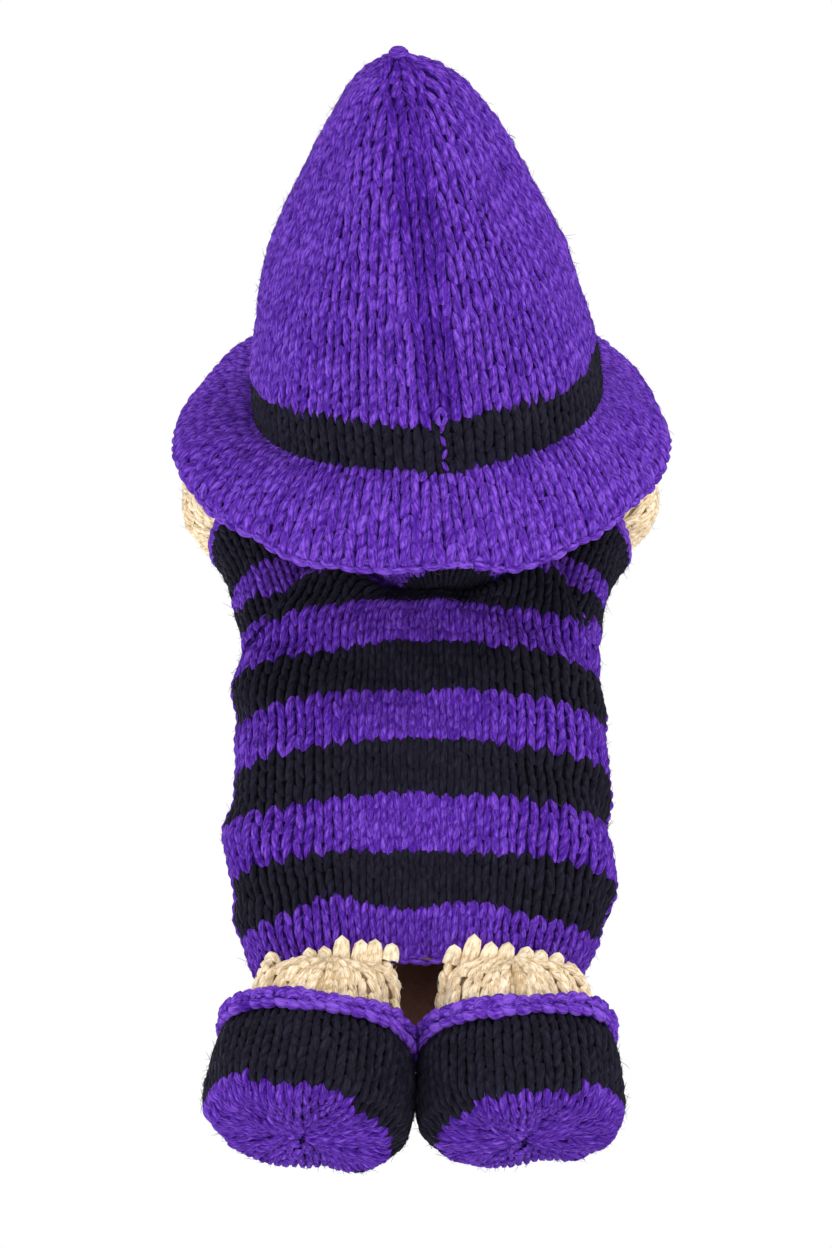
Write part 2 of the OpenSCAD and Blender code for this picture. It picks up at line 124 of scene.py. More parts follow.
class Skin:
    """A tube-like surface. It is read by (s, p): s is the distance along it, p goes round it, 0 to 1."""

    def __init__(self, grid, outward=1.0):
        self.g, self.outward = grid, outward
        step = norm(np.diff(grid, axis=0), axis=2).mean(1)
        self.s = concatenate([[0], np.cumsum(np.maximum(step, 1e-6))])
        self.length = self.s[-1]
        around = np.roll(grid, -1, 1) - np.roll(grid, 1, 1)
        along = np.gradient(grid, axis=0)
        n = cross(around, along)
        bad = norm(n, axis=2) < 1e-5
        n = unit(n) * outward
        n[bad] = unit(grid[bad] - grid.mean((0, 1)))
        self.n = unit(smooth(n, 1))
        self.ring = norm(np.roll(grid, -1, 1) - grid, axis=2).sum(1)

    def at(self, s, p):
        """Positions and normals."""
        r = interp(s, self.s, arange(len(self.s)))
        over = s - clip(s, 0, self.length)
        rows, cols = self.g.shape[:2]
        i = clip(np.floor(r).astype(int), 0, rows - 2)
        f = (r - i)[..., None]
        c = np.mod(p, 1) * cols
        j = np.floor(c).astype(int) % cols
        h = (c - np.floor(c))[..., None]
        k = (j + 1) % cols

        def mix(a):
            first = a[i, j] * (1 - h) + a[i, k] * h
            second = a[i + 1, j] * (1 - h) + a[i + 1, k] * h
            return first * (1 - f) + second * f

        pos = mix(self.g)
        ahead = unit(self.g[i + 1, j] - self.g[i, j])
        return pos + ahead * over[..., None], unit(mix(self.n))

    def girth(self, s):
        return interp(s, self.s, self.ring)

    def finer(self, times):
        """The same surface with more columns."""
        cols = self.g.shape[1]
        c = arange(cols * times) / times
        j = c.astype(int)
        f = (c - j)[None, :, None]
        a, b, c, d = (self.g[:, (j + k) % cols] for k in (-1, 0, 1, 2))
        g = b + 0.5 * f * (c - a + f * (2 * a - 5 * b + 4 * c - d + f * (3 * (b - c) + d - a)))
        return Skin(g, self.outward)

    def shaped(self, push):
        """The same surface pushed along its normal by push(s, p, grid)."""
        s, p = all_round(self.s, self.g.shape[1])
        return Skin(self.g + self.n * push(s, p, self.g)[..., None], self.outward)


def reach_of(nodes, centres, ways, keep_from=2.0):
    """How far the nodes' outermost surface is from each row's centre, along each ray. Misses are
    filled in. A hit nearer than keep_from is a miss."""
    verts, polys = [], []
    for node in nodes:
        base = len(verts)
        verts += [Vector(p) for p in points(node)]
        polys += [[base + i for i in p.vertices] for p in frame["nodes"][node].data.polygons]
    bvh = BVHTree.FromPolygons(verts, polys)
    reach = np.full(ways.shape[:2], np.nan)
    for (i, j), _ in np.ndenumerate(reach):
        d = ways[i, j]
        hit = bvh.ray_cast(Vector(centres[i] + FAR * d), Vector(-d), 2 * FAR)[0]
        if hit is not None:
            t = (array(hit) - centres[i]) @ d
            reach[i, j] = t if t > keep_from else np.nan
    for lines, period in ((reach, reach.shape[1]), (reach.T, None)):
        for line in lines:
            good = np.flatnonzero(~np.isnan(line))
            if len(good):
                line[:] = interp(arange(len(line)), good, line[good], period=period)
    return reach


def cast(nodes, axes, rows, cols=96, smoothing=1, keep_from=2.0, outward=1.0):
    """A skin on the outermost surface of the nodes. Each row is (centre x, y, z, elevation in degrees) in
    the local frame, and its rays go out all round at that elevation."""
    a = TAU * arange(cols) / cols
    rows = array(rows, float)
    e = np.radians(rows[:, 3:])
    centres = axes.out(rows[:, :3])
    ways = axes.turn(stack([cos(a) * cos(e), sin(a) * cos(e), sin(e) + 0 * a], -1))
    reach = smooth(reach_of(nodes, centres, ways, keep_from)[..., None], smoothing)
    return Skin(centres[:, None] + ways * reach, outward)


def upright(z0, z1, n, x=0.0, y=0.0):
    return [(x, y, z, 0.0) for z in linspace(z0, z1, n)]


def fan(z, e0, e1, n, x=0.0, y=0.0):
    return [(x, y, z, e) for e in linspace(e0, e1, n)]


# ---- yarn ----

class Yarn:
    """Gathers lengths of yarn and writes them as one mesh."""

    def __init__(self):
        self.co, self.quads, self.fibre, self.tone, self.count = [], [], [], [], 0

    def add(self, path, normal, wide, deep, tone, sides=6):
        """path and normal are (n, m, 3), the half sizes wide and deep (n, m), tone (n,) or (n, m)."""
        n, m = path.shape[:2]
        if n == 0:
            return
        along = unit(np.gradient(path, axis=1))
        across = unit(cross(along, normal))
        up = unit(cross(across, along))
        a = TAU * arange(sides) / sides
        ring = (across[:, :, None] * (cos(a)[:, None] * wide[:, :, None, None])
                + up[:, :, None] * (sin(a)[:, None] * deep[:, :, None, None]))
        co = path[:, :, None] + ring
        step = norm(np.diff(path, axis=1), axis=2)
        u = concatenate([np.zeros((n, 1)), np.cumsum(step, 1)], 1) + rng.uniform(0, 40, (n, 1))
        fibre = stack(np.broadcast_arrays(cos(a), sin(a), u[:, :, None]), -1)
        tone = np.broadcast_to(tone[:, None] if tone.ndim == 1 else tone, (n, m))
        base = self.count + arange(n)[:, None, None] * m * sides
        i = arange(m - 1)[None, :, None] * sides
        j = arange(sides)[None, None, :]
        k = (j + 1) % sides
        self.co.append(co.reshape(-1, 3))
        self.quads.append(corners(base + i, j, k, sides))
        self.fibre.append(fibre.reshape(-1))
        self.tone.append(repeat(tone.reshape(-1), sides))
        self.count += n * m * sides

    def write(self, name, material):
        o = quad_mesh(name, concatenate(self.co), concatenate(self.quads), material)
        for key, kind, slot, lists in (("fibre", "FLOAT_VECTOR", "vector", self.fibre),
                                       ("tone", "FLOAT", "value", self.tone)):
            data = o.data.attributes.new(key, kind, "POINT").data
            data.foreach_set(slot, concatenate(lists).astype(np.float32))
        return o


def corners(i, j, k, step):
    """The corners of faces between neighbouring rings of step vertices; k is the column after j."""
    return stack(np.broadcast_arrays(i + j, i + k, i + step + k, i + step + j), -1).reshape(-1, 4)


def tube_faces(rows, cols):
    j = arange(cols)[None, :]
    return corners(arange(rows - 1)[:, None] * cols, j, (j + 1) % cols, cols)


def quad_mesh(name, co, quads, material):
    """An object with one mesh of four-cornered faces; co is in mm."""
    me = bpy.data.meshes.new(name)
    me.vertices.add(len(co))
    me.vertices.foreach_set("co", (co * MM).astype(np.float32).ravel())
    me.loops.add(4 * len(quads))
    me.loops.foreach_set("vertex_index", quads.astype(np.int32).ravel())
    me.polygons.add(len(quads))
    me.polygons.foreach_set("loop_start", arange(0, 4 * len(quads), 4, dtype=np.int32))
    me.polygons.foreach_set("use_smooth", np.ones(len(quads), dtype=bool))
    me.update(calc_edges=True)
    me.materials.append(material)
    return link(name, me)


def link(name, data):
    o = bpy.data.objects.new(name, data)
    bpy.context.scene.collection.objects.link(o)
    return o


BACKING = 1.0  # depth of the backings under the stitches


def sheet(name, skin, rows, cols, cloth, inset=BACKING, s0=0.0, over=0.0, other=None, is_other=None):
    """A smooth sheet under a skin, from s0 to over past its end. Its faces are of the other cloth
    where is_other(part, p) says so; part is how far along the sheet a face is, 0 to 1."""
    pos, nor = skin.at(*all_round(linspace(s0, skin.length + over, rows), cols))
    o = quad_mesh(name, (pos - nor * inset).reshape(-1, 3), tube_faces(rows, cols), cloth)
    if other is not None:
        o.data.materials.append(other)
        part = (repeat(arange(rows - 1), cols) + 0.5) / (rows - 1)
        p = tile((arange(cols) + 0.5) / cols, rows - 1)
        o.data.polygons.foreach_set("material_index", is_other(part, p).astype(np.int32))
    return o


T = linspace(0, 1, 6)  # places along one leg of a stitch


def stitches(skin, p, n, low, h, row, keep=None, thick=1.0, lift=0.0, deep=1.1, slack=0.0):
    """Stocking stitches on a skin, each a V of two legs. Each has its middle at p, n of them go round,
    and it stands from low to low + h. Sizes of a leg are in stitch widths and heights."""
    if keep is not None:
        ok = keep(low + 0.5 * h, p)
        p, n, low, h, row = (v[ok] for v in (p, n, low, h, row))
    c = len(p)
    width = skin.girth(low + 0.5 * h) / n
    jitter = rng.normal(0, 1, (c, 4))
    out = []
    for side in (-1, 1):
        lean = 0.19 * (1 + 0.25 * rng.normal(0, 1, (c, 1)))
        across = side * (0.25 + lean * (T - 0.52)) + 0.028 * jitter[:, :1]
        up = -0.34 + 1.42 * T + 0.08 * jitter[:, 1:2]
        high = (0.7 * sin(pi * (0.05 + 0.9 * T)) - 0.5) * thick + lift
        high = high + 0.09 * jitter[:, 2:3] + slack * rng.normal(0, 1, (c, 1))
        body = 0.76 + 0.24 * sin(pi * (0.06 + 0.86 * T)) ** 0.75
        fat = 1 + 0.08 * jitter[:, 3:4]
        wide = body * fat * (0.235 * width)[:, None]
        deep_r = body * fat * deep * thick
        pos, nor = skin.at(low[:, None] + up * h[:, None], p[:, None] + across / n[:, None])
        out.append((pos + nor * high[..., None], nor, wide, deep_r))
    path, nor, wide, deep_r = (concatenate([a[i] for a in out]) for i in range(4))
    tone = 0.5 + 0.06 * rng.normal(0, 1, 2 * c)
    # Painted shade: each leg is darker towards its ends, where it dips in between its neighbours.
    tone = tone[:, None] - 0.16 * (1 - sin(pi * (0.12 + 0.8 * T)))
    return {"path": path, "normal": nor, "wide": wide, "deep": deep_r, "tone": clip(tone, 0, 1),
            "row": tile(row, 2), "p": tile(p, 2) % 1, "s": tile(low + 0.5 * h, 2)}


def knit(skin, s0, s1, rows, count, spin=0.0, edges=None, **look):
    """Rounds of stocking stitch on a skin from s0 to s1, or between the given edges. There are
    count stitches round, or count(row)."""
    edges = s0 + (s1 - s0) * arange(rows + 1) / rows if edges is None else edges
    counts = [count(r) if callable(count) else count for r in range(len(edges) - 1)]
    row = repeat(arange(len(counts)), counts)
    n = repeat(counts, counts)
    p = (concatenate([arange(c) for c in counts]) + 0.5) / n + spin
    return stitches(skin, p, n, edges[row], edges[row + 1] - edges[row], row, **look)


def knit_wales(skin, count, height, **look):
    """Columns of stocking stitch, each with as many stitches as its own length holds."""
    cells = []
    for p in (arange(count) + 0.5) / count:
        line, _ = skin.at(linspace(0, skin.length, 30), np.full(30, p))
        rows = max(1, int(round(norm(np.diff(line, axis=0), axis=1).sum() / height)))
        cells += [(p, count, skin.length * k / rows, skin.length / rows, k) for k in range(rows)]
    return stitches(skin, *array(cells).T, **look)


ALL = slice(None)
FUZZ = 2.5  # loose fibres on each leg of a stitch


def put(yarn, legs, mask=ALL):
    """Adds the legs where mask is true, with their loose fibres."""
    path, normal, wide, deep, tone = (legs[k][mask] for k in ("path", "normal", "wide", "deep", "tone"))
    yarn.add(path, normal, wide, deep, tone)
    fibres(yarn, path, normal, deep, int(FUZZ * len(path)))


def lay(legs, mask=ALL):
    y = Yarn()
    put(y, legs, mask)
    return y


def fibres(yarn, path, normal, deep, count):
    """Loose ends of wool, most of them lying along the yarn and a few standing off it."""
    if count < 1:
        return
    leg = rng.integers(0, len(path), count)
    at = rng.integers(1, path.shape[1] - 1, count)
    up = normal[leg, at]
    along = unit(path[leg, at + 1] - path[leg, at - 1])
    side = cross(up, along)
    a, b = rng.normal(0, 1, (2, count, 3))
    stand = np.where(rng.uniform(0, 1, (count, 1)) < 0.3, 0.6, 0.12)
    way = unit(up * np.abs(a[:, :1]) * stand + along * np.sign(a[:, 1:2]) + side * a[:, 2:] * 0.6)
    bend = up * (b[:, :1] * stand - 0.1) + along * b[:, 1:2] * 0.4 + side * b[:, 2:] * 0.8
    length = rng.uniform(1.0, 3.0, count)[:, None, None]
    t = linspace(0, 1, 4)
    off = rng.uniform(-0.8, 0.8, (count, 1))
    start = path[leg, at] + (up * np.sqrt(1 - off ** 2) + side * off) * 0.95 * deep[leg, at][:, None]
    u = t[None, :, None]
    line = start[:, None] + length * (way[:, None] * u + 0.35 * bend[:, None] * u ** 2)
    r = 0.085 * (1 - 0.7 * t)[None] + np.zeros((count, 1))
    # Painted highlight: most fibres take a light tone, brighter than their yarn, for the sheen of the
    # fuzz; the rest take a dark tone.
    tone = np.where(rng.uniform(0, 1, count) < 0.7, 0.95, 0.15)
    yarn.add(line, repeat(up[:, None], len(t), 1), r, r, tone, sides=3)


def chain(yarn, skin, s, count, size, lift=0.6, twist=1.0, start=0.0, end=1.0, wave=0.0):
    """A bumpy edge of slanted loops round a skin at s."""
    reach = (end - start) / count
    p = start + reach * (arange(count) + 0.5)
    t = linspace(0, 1, 6)
    jitter = rng.normal(0, 1, (count, 3))
    for side in (-1, 1):
        ps = p[:, None] + reach * (-0.62 + 1.24 * t) + 0.06 * reach * jitter[:, :1]
        ss = s + twist * size * side * (0.25 + 0.55 * sin(pi * t * 0.8))
        ss = ss + 0.1 * size * jitter[:, 1:2] + wave * sin(TAU * 5 * ps)
        pos, nor = skin.at(ss, ps)
        pos = pos + nor * (lift + size * (0.45 * sin(pi * t) - 0.2))[:, None]
        body = (0.5 + 0.5 * sin(pi * (0.1 + 0.8 * t))) * (1 + 0.06 * jitter[:, 2:3])
        tone = 0.62 + 0.12 * rng.normal(0, 1, count)
        yarn.add(pos, nor, body * size * 0.62, body * size * 0.62, tone)


def strand(yarn, path, radius, tone, middle):
    """One length of yarn along a path of points that goes round a middle."""
    path = np.asarray(path, float)[None]
    r = np.full(path.shape[:2], radius)
    r[:, [0, -1]] *= 0.5
    yarn.add(path, unit(path - np.asarray(middle, float)), r, r, array([tone]), sides=8)


def sew(yarn, skin, s0, s1, p, half, bow, lift, radii, tone):
    """One sewn stitch on a skin, from (s0, p - half) to (s1, p + half). radii are at its end, after it
    and in its middle."""
    pos, nor = skin.at(linspace(s0, s1, 5)[None], p + linspace(-half, half, 5)[None])
    pos = pos + nor * (bow * sin(linspace(0, pi, 5)) + lift)[:, None]
    r = array([[*radii, radii[1], radii[0]]])
    yarn.add(pos, nor, r, r, array([tone]))


# ---- materials ----

def new_material(name):
    m = bpy.data.materials.new(name)
    m.use_nodes = True
    n = m.node_tree
    return m, n, n.nodes["Principled BSDF"]


def new(n, kind, **values):
    node = n.nodes.new("ShaderNode" + kind)
    dial(node, **values)
    return node


def dial(node, **values):
    """Sets inputs of a node."""
    for k, v in values.items():
        node.inputs[k.replace("_", " ")].default_value = v


def attribute(n, name, output):
    node = new(n, "Attribute")
    node.attribute_name = name
    return node.outputs[output]


def noise(n, vector, scale, detail, roughness):
    node = new(n, "TexNoise", Scale=scale, Detail=detail, Roughness=roughness)
    n.links.new(vector, node.inputs["Vector"])
    return node.outputs["Fac"]


def calculator(n):
    """do(op, a, b) adds a math node for two values or sockets; further values are taken in turn."""
    def do(op, a, *more):
        for b in more or (None,):
            node = new(n, "Math")
            node.operation = op
            for i, v in enumerate((a, b)):
                if isinstance(v, (int, float)):
                    node.inputs[i].default_value = v
                elif v is not None:
                    n.links.new(v, node.inputs[i])
            a = node.outputs[0]
        return a
    return do


def ramp(n, value, stops):
    r = new(n, "ValToRGB")
    while len(r.color_ramp.elements) < len(stops):
        r.color_ramp.elements.new(0.5)
    for e, (at, colour) in zip(r.color_ramp.elements, stops):
        e.position = at
        e.color = (*colour, 1)
    n.links.new(value, r.inputs[0])
    return r.outputs[0]


def surface(n, shader, colour, height, strength, distance, **values):
    """Gives the shader its colour, its bumps and its other values."""
    n.links.new(colour, shader.inputs["Base Color"])
    bump = new(n, "Bump", Strength=strength, Distance=distance)
    n.links.new(height, bump.inputs["Height"])
    n.links.new(bump.outputs[0], shader.inputs["Normal"])
    dial(shader, **values)


LEAD = 7.0  # length of yarn in which its plies go round once
PLIES = 2
ACROSS, ALONG = 0.7, 0.11  # how fine the fibres' noise is across the yarn and along it


def yarn_material(name, dark, mid, light, sheen=0.35):
    """Plied woollen yarn: strands that wind round it, loose fibres along them, and a soft bloom."""
    m, n, shader = new_material(name)
    do = calculator(n)
    split = new(n, "SeparateXYZ")
    n.links.new(attribute(n, "fibre", "Vector"), split.inputs[0])
    x, y, length = split.outputs
    turn = do("ADD", do("ARCTAN2", y, x), do("MULTIPLY", length, TAU / LEAD))
    ply = do("ABSOLUTE", do("SINE", do("MULTIPLY", turn, PLIES / 2)))
    place = new(n, "TexCoord").outputs["Object"]
    drawn_out = new(n, "CombineXYZ")
    for i, (v, k) in enumerate(((x, ACROSS), (y, ACROSS), (length, ALONG))):
        n.links.new(do("MULTIPLY", v, k), drawn_out.inputs[i])
    hair = noise(n, drawn_out.outputs[0], 4.0, 4.0, 0.7)
    fine = noise(n, place, 1500.0, 2.0, 0.6)
    patch = noise(n, place, 45.0, 3.0, 0.6)
    # The colour is darker in the crevices between the plies: painted shade. The tone read from the yarn
    # carries each stitch's random tone and also the painted shade and highlight laid on stitches and
    # fibres.
    value = do("ADD", do("MULTIPLY", do("SUBTRACT", hair, 0.5), 3.1),
               attribute(n, "tone", "Fac"),
               do("MULTIPLY", do("SUBTRACT", ply, 0.6), 0.3),
               do("MULTIPLY", do("SUBTRACT", patch, 0.5), 0.2))
    height = do("ADD", do("MULTIPLY", do("POWER", ply, 0.6), 0.55),
                do("MULTIPLY", hair, 1.2), do("MULTIPLY", fine, 0.35))
    surface(n, shader, ramp(n, value, [(0.05, dark), (0.5, mid), (0.95, light)]), height, 0.8, 0.00045,
            Roughness=0.92, Specular_IOR_Level=0.12, Sheen_Weight=sheen, Sheen_Roughness=0.45,
            Sheen_Tint=(*[min(1.0, c * 1.1 + 0.05) for c in light], 1))
    return m


WEAVE = 9000.0  # radians of a woven thread in a metre


def cloth_material(name, dark, light, scale=900.0, strength=0.4, rough=0.95, sheen=0.1, weave=False):
    """A backing seen between stitches, a filling, a bead, or a fine woven lining."""
    m, n, shader = new_material(name)
    do = calculator(n)
    place = new(n, "TexCoord").outputs["Object"]
    height = noise(n, place, scale, 4.0, 0.7)
    patch = noise(n, place, 60.0, 3.0, 0.5)
    value = do("ADD", do("MULTIPLY", height, 0.6), do("MULTIPLY", patch, 0.5))
    if weave:
        split = new(n, "SeparateXYZ")
        n.links.new(place, split.inputs[0])
        x, y, z = split.outputs
        knots = do("MULTIPLY", do("SINE", do("MULTIPLY", do("ADD", x, y), WEAVE)),
                   do("SINE", do("MULTIPLY", z, WEAVE)))
        height = do("ADD", height, do("MULTIPLY", knots, 0.5))
        value = do("ADD", value, do("MULTIPLY", knots, 0.08))
    surface(n, shader, ramp(n, value, [(0.3, dark), (0.8, light)]), height, strength, 0.0004,
            Roughness=rough, Specular_IOR_Level=0.15, Sheen_Weight=sheen)
    return m


PURPLE = yarn_material("purple_wool", (0.034, 0.003, 0.18), (0.09, 0.0205, 0.325), (0.185, 0.072, 0.52),
                       sheen=0.08)
BLACK = yarn_material("black_wool", (0.004, 0.0038, 0.009), (0.0072, 0.0064, 0.0152),
                      (0.015, 0.014, 0.027), sheen=0.035)
CREAM = yarn_material("cream_wool", (0.52, 0.36, 0.18), (0.75, 0.6, 0.41), (0.88, 0.77, 0.59), sheen=0.1)
RED = yarn_material("red_wool", (0.12, 0.008, 0.012), (0.36, 0.03, 0.045), (0.6, 0.1, 0.1))
# The backings stand for yarn seen deep between the stitches and are coloured darker than their yarn:
# painted shade.
PURPLE_BACK_SHADE = cloth_material("purple_knit_inside_painted_shade", (0.035, 0.003, 0.19), (0.07, 0.012, 0.29))
BLACK_BACK_SHADE = cloth_material("black_knit_inside_painted_shade", (0.003, 0.003, 0.006), (0.01, 0.009, 0.015))
CREAM_BACK_SHADE = cloth_material("cream_knit_inside_painted_shade", (0.4, 0.27, 0.13), (0.62, 0.47, 0.28))
LINING = cloth_material("brown_lining_cloth", (0.075, 0.03, 0.019), (0.2, 0.088, 0.057),
                        strength=0.25, rough=0.6, sheen=0.25, weave=True)
FILLING = cloth_material("white_fibre_filling", (0.75, 0.73, 0.7), (0.92, 0.91, 0.89), scale=300.0,
                         strength=0.8)
BEAD = cloth_material("black_bead_gloss", (0.004, 0.004, 0.005), (0.012, 0.012, 0.014), strength=0.05,
                      rough=0.18)


def piece(obj, body, slot, *nodes):
    """A visible piece that rides on a body and stands for CAD nodes."""
    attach(obj, body)
    if nodes:
        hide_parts(*nodes)
    return obj


def bridge(obj, start, end):
    """A visible piece whose cloth goes from the dress to another body. Its transform is baked into its
    mesh; start and end, points in mm, are not used.
    """
    tuple(array(start) * MM)
    tuple(array(end) * MM)
    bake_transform(obj)


def waves(s, p, *terms):
    """A sum of soft bumps. Each term is (size, bumps round, phase in turns, turn per mm of s)."""
    return sum(size * sin(TAU * (n * p + phase) + twist * s) for size, n, phase, twist in terms)


def bell(x, width):
    return np.exp(-(x / width) ** 2)


def most_that_fit(girth, choices, width, least):
    """The first number of stitches that leaves each of them wider than width round a girth."""
    return next((n for n in choices if girth / n > width), least)


SIDES = ("left", "right")

# ---- the dress ----

PITCH = 5.5  # width of a stitch
HEM = 1.2  # the lowest round starts this far up
HEM_ROW = 3.4  # height of a round in the hem's stripe, which curls
STRIPE = 4  # rounds in a stripe
COURSES = 7 * STRIPE + 1  # the rest of the eighth stripe goes on over the shoulders
SIDE_DROP = 4.5  # how far the top round hangs down at each side
DRAWN_UP = [(24, 6.5), (-14, 4.0)]  # where the sewing of the legs draws the hem's stripe up, and how far
DRAWN_TO = 32  # the pull has faded out this far above the hem
DRESS_COLS = 144

neck = joint_at("head_nod")
head = Axes(neck, joints["head_turn"]["axis"])
world = Axes([0, 0, 0], UP)
heights = [HEM_ROW if r < STRIPE else 4.5 - 0.035 * r for r in range(COURSES)]
dress_edges = HEM + concatenate([[0], np.cumsum(heights)])


def dress_rows():
    """Level rows. Their centres move over to the neck near the top."""
    z = linspace(0.6, dress_edges[-1] + 0.6, 60)
    t = clip((z / neck[2] - 0.84) / 0.16, 0, 1)
    t = t * t * (3 - 2 * t)
    return stack([neck[0] * t, neck[1] * t, z, 0 * z], 1)


def dress_push(s, p, g):
    """Soft unevenness, and a crease up the middle of the back from the hem."""
    crease = -2.6 * bell(p - 0.262, 0.011) * clip(1 - s / 26, 0, 1)
    return waves(s, p, (0.9, 3, 0.11, 0.15), (0.7, 5, 0.43, 0.25), (0.35, 9, 0.77, 0.45)) + crease - 0.3


def resample(to, at, values):
    return stack([interp(to, at, values[:, k]) for k in range(3)], 1)


def hang(skin):
    """The same surface with its rounds let down at the sides, and drawn up over each leg at the back."""
    s, cols = skin.s, skin.g.shape[1]
    g = skin.g.copy()
    drawn = sin(pi * clip(s / DRAWN_TO, 0, 1))
    for c in range(cols):
        down = SIDE_DROP * cos(TAU * c / cols) ** 4 * s / s[-1]
        if c < cols / 2:
            x = skin.g[0, c, 0]
            down = down - drawn * sum(up * bell(x - at, 13) for at, up in DRAWN_UP)
        g[:, c] = resample(s - down, s, skin.g[:, c])
    return Skin(g)


dress = cast(["dress_back", "dress_front"], world, dress_rows(), cols=DRESS_COLS, smoothing=2)
dress = hang(dress.shaped(dress_push))
stitches_round = int(round(dress.ring.max() / PITCH / 2)) * 2
dress_edges = dress_edges * dress.length / dress_edges[-1]

arm = {}
for side in SIDES:
    shoulder = joint_at(side + "_shoulder")
    arm[side] = Axes(shoulder, joint_at(side + "_wrist") - shoulder)


def outside_sleeves(skin, radius):
    def keep(s, p):
        pos, _ = skin.at(s, p)
        ok = np.ones(len(s), bool)
        for a in arm.values():
            q = a.local(pos)
            ok &= ~((np.hypot(q[:, 0], q[:, 1]) < radius) & (q[:, 2] > -25))
        return ok
    return keep


legs = knit(dress, 0, 0, 0, stitches_round, edges=dress_edges, keep=outside_sleeves(dress, 10.0),
            slack=0.05)
# Painted shade: every stitch of the dress is made darker than the same yarn on the hat.
legs["tone"] -= 0.08
is_black = (legs["row"] // STRIPE) % 2 == 1
is_back = legs["p"] < 0.5
for label, where, from_p in (("back", is_back, 0.0), ("front", ~is_back, 0.5)):
    y = lay(legs, where & ~is_black)
    chain(y, dress, 0.6, stitches_round // 2, 1.25, lift=0.2, start=from_p, end=from_p + 0.5)
    piece(y.write(f"dress_{label}_purple_knit", PURPLE), "dress", "purple_yarn", "dress_" + label)
    y = lay(legs, where & is_black)
    piece(y.write(f"dress_{label}_black_knit", BLACK), "dress", "black_yarn", "dress_" + label)


def in_black_stripe(part, p):
    course = np.searchsorted(dress_edges, 0.5 + part * (dress.length - 0.5)) - 1
    return (course // STRIPE) % 2 == 1


piece(sheet("dress_inside_knit", dress, 4 * COURSES, DRESS_COLS, PURPLE_BACK_SHADE, s0=0.5,
            other=BLACK_BACK_SHADE, is_other=in_black_stripe), "dress", "purple_yarn")

# side seams, with the yarn that closes them
for side, p in (("left", 0.0), ("right", 0.5)):
    y = Yarn()
    for t in arange(3, 98, 3.6):
        sew(y, dress, t - 1.2, t + 3.2, p, 0.0045, 0.75, 0.1, (0.45, 0.8, 0.9), 0.45)
    piece(y.write(f"{side}_seam_sewing", PURPLE), "dress", "purple_yarn", f"{side}_seam_yarn")


def ring_frame(pts, x=None):
    """A frame in the middle of a flat ring of points, with Z across the ring and up."""
    mid = pts.mean(0)
    z = np.linalg.svd(pts - mid, full_matrices=False)[2][2]
    return Axes(mid, z if z[2] > 0 else -z, x)


# neckline: the two turns of yarn that gather the top
tie = ring_frame(points("neckline_tie"))
tie_r = np.hypot(*tie.local(points("neckline_tie"))[:, :2].T).mean()
a = linspace(0, TAU, 121)
y = Yarn()
for k in range(2):
    r = tie_r + 0.5 * sin(18 * a + 2.5 * k)
    strand(y, tie.ring(a, r, 0.9 * k + 0.4 * cos(14 * a)), 0.85, 0.5, tie.o)
piece(y.write("neckline_gathering_yarn", PURPLE), "dress", "purple_yarn", "neckline_tie")

# ---- lining ----

lining = cast(["hand_lining"], world, upright(-1.0, local_box("hand_lining", world)[1][2] - 1.5, 26))


def lining_side(inset):
    """One side of the wrinkled lining. It hangs out of the hem at the front."""
    s, p = all_round(linspace(-8.5, lining.length, 60), 144)
    drop = clip(0.55 - 0.45 * sin(TAU * p), 0.1, 1)
    s = np.where(s < 4, 4 - (4 - s) * drop, s)
    pos, nor = lining.at(s, p)
    wrinkle = waves(s, p, (0.55, 11, 0, 0.16)) * sin(0.09 * s + 9 * p) + waves(s, p, (0.35, 23, 0, 0.3))
    return pos - nor * (inset + 0.3 + 0.5 * wrinkle)[..., None]


both = concatenate([lining_side(0.1)[::-1], lining_side(0.75)])
faces = tube_faces(*both.shape[:2])[:, ::-1]
o = quad_mesh("hand_opening_lining", both.reshape(-1, 3), faces, LINING)
piece(o, "dress", "brown_lining", "hand_lining")

# ---- the head ----

HEAD_ROW = 3.9

cover_low, cover_high = local_box("head_cover", head)
head_r = (cover_high[0] - cover_low[0]) / 2
head_mid = cover_high[2] - head_r
head_skin = cast(["head_cover"], head, fan(head_mid, -71, 12, 50), cols=128).shaped(
    lambda s, p, g: waves(s, p, (0.5, 4, 0, 0.07), (0.4, 7, 0.2, -0.05)) - 0.3)


def head_count(r):
    return int(clip(round(head_skin.girth((r + 0.5) * HEAD_ROW) / PITCH / 6) * 6, 18, 56))


courses = int(head_skin.length / HEAD_ROW)
o = lay(knit(head_skin, 0, courses * HEAD_ROW, courses, head_count)).write("head_knit", CREAM)
piece(o, "head", "cream_yarn", "head_cover")
piece(sheet("head_inside_knit", head_skin, 40, 96, CREAM_BACK_SHADE), "head", "cream_yarn")

# ---- the hat: a cone of stocking stitch with a seam up the back, drawn in at its tip ----

SEAM = 0.25  # where the seam is, round the hat
CROWN_ROW, CROWN_PITCH = 4.3, 6.1

band_box = local_box("hat_band", head)
band_low, band_high = band_box[0][2], band_box[1][2]
cap = band_high + 0.8 * (local_box("hat_crown", head)[1][2] - band_high)


def crown_push(s, p, g):
    seam = crown_raw.girth(s) * (p - SEAM)
    groove = -1.75 * bell(seam, 2.4) * clip(1.15 - s / crown_raw.length, 0.3, 1)
    groove = groove - 0.2 * bell(seam, 2.2) * bell(s - 3.0, 2.4)
    soft = waves(s, p, (0.9, 3, 0.2, 0.04), (0.5, 6, 0, -0.07))
    fade = clip((crown_raw.length - s) / 18, 0, 1)
    return (soft + groove) * fade + 0.8 * (1 - fade) * cos(TAU * 7 * p) - 0.3


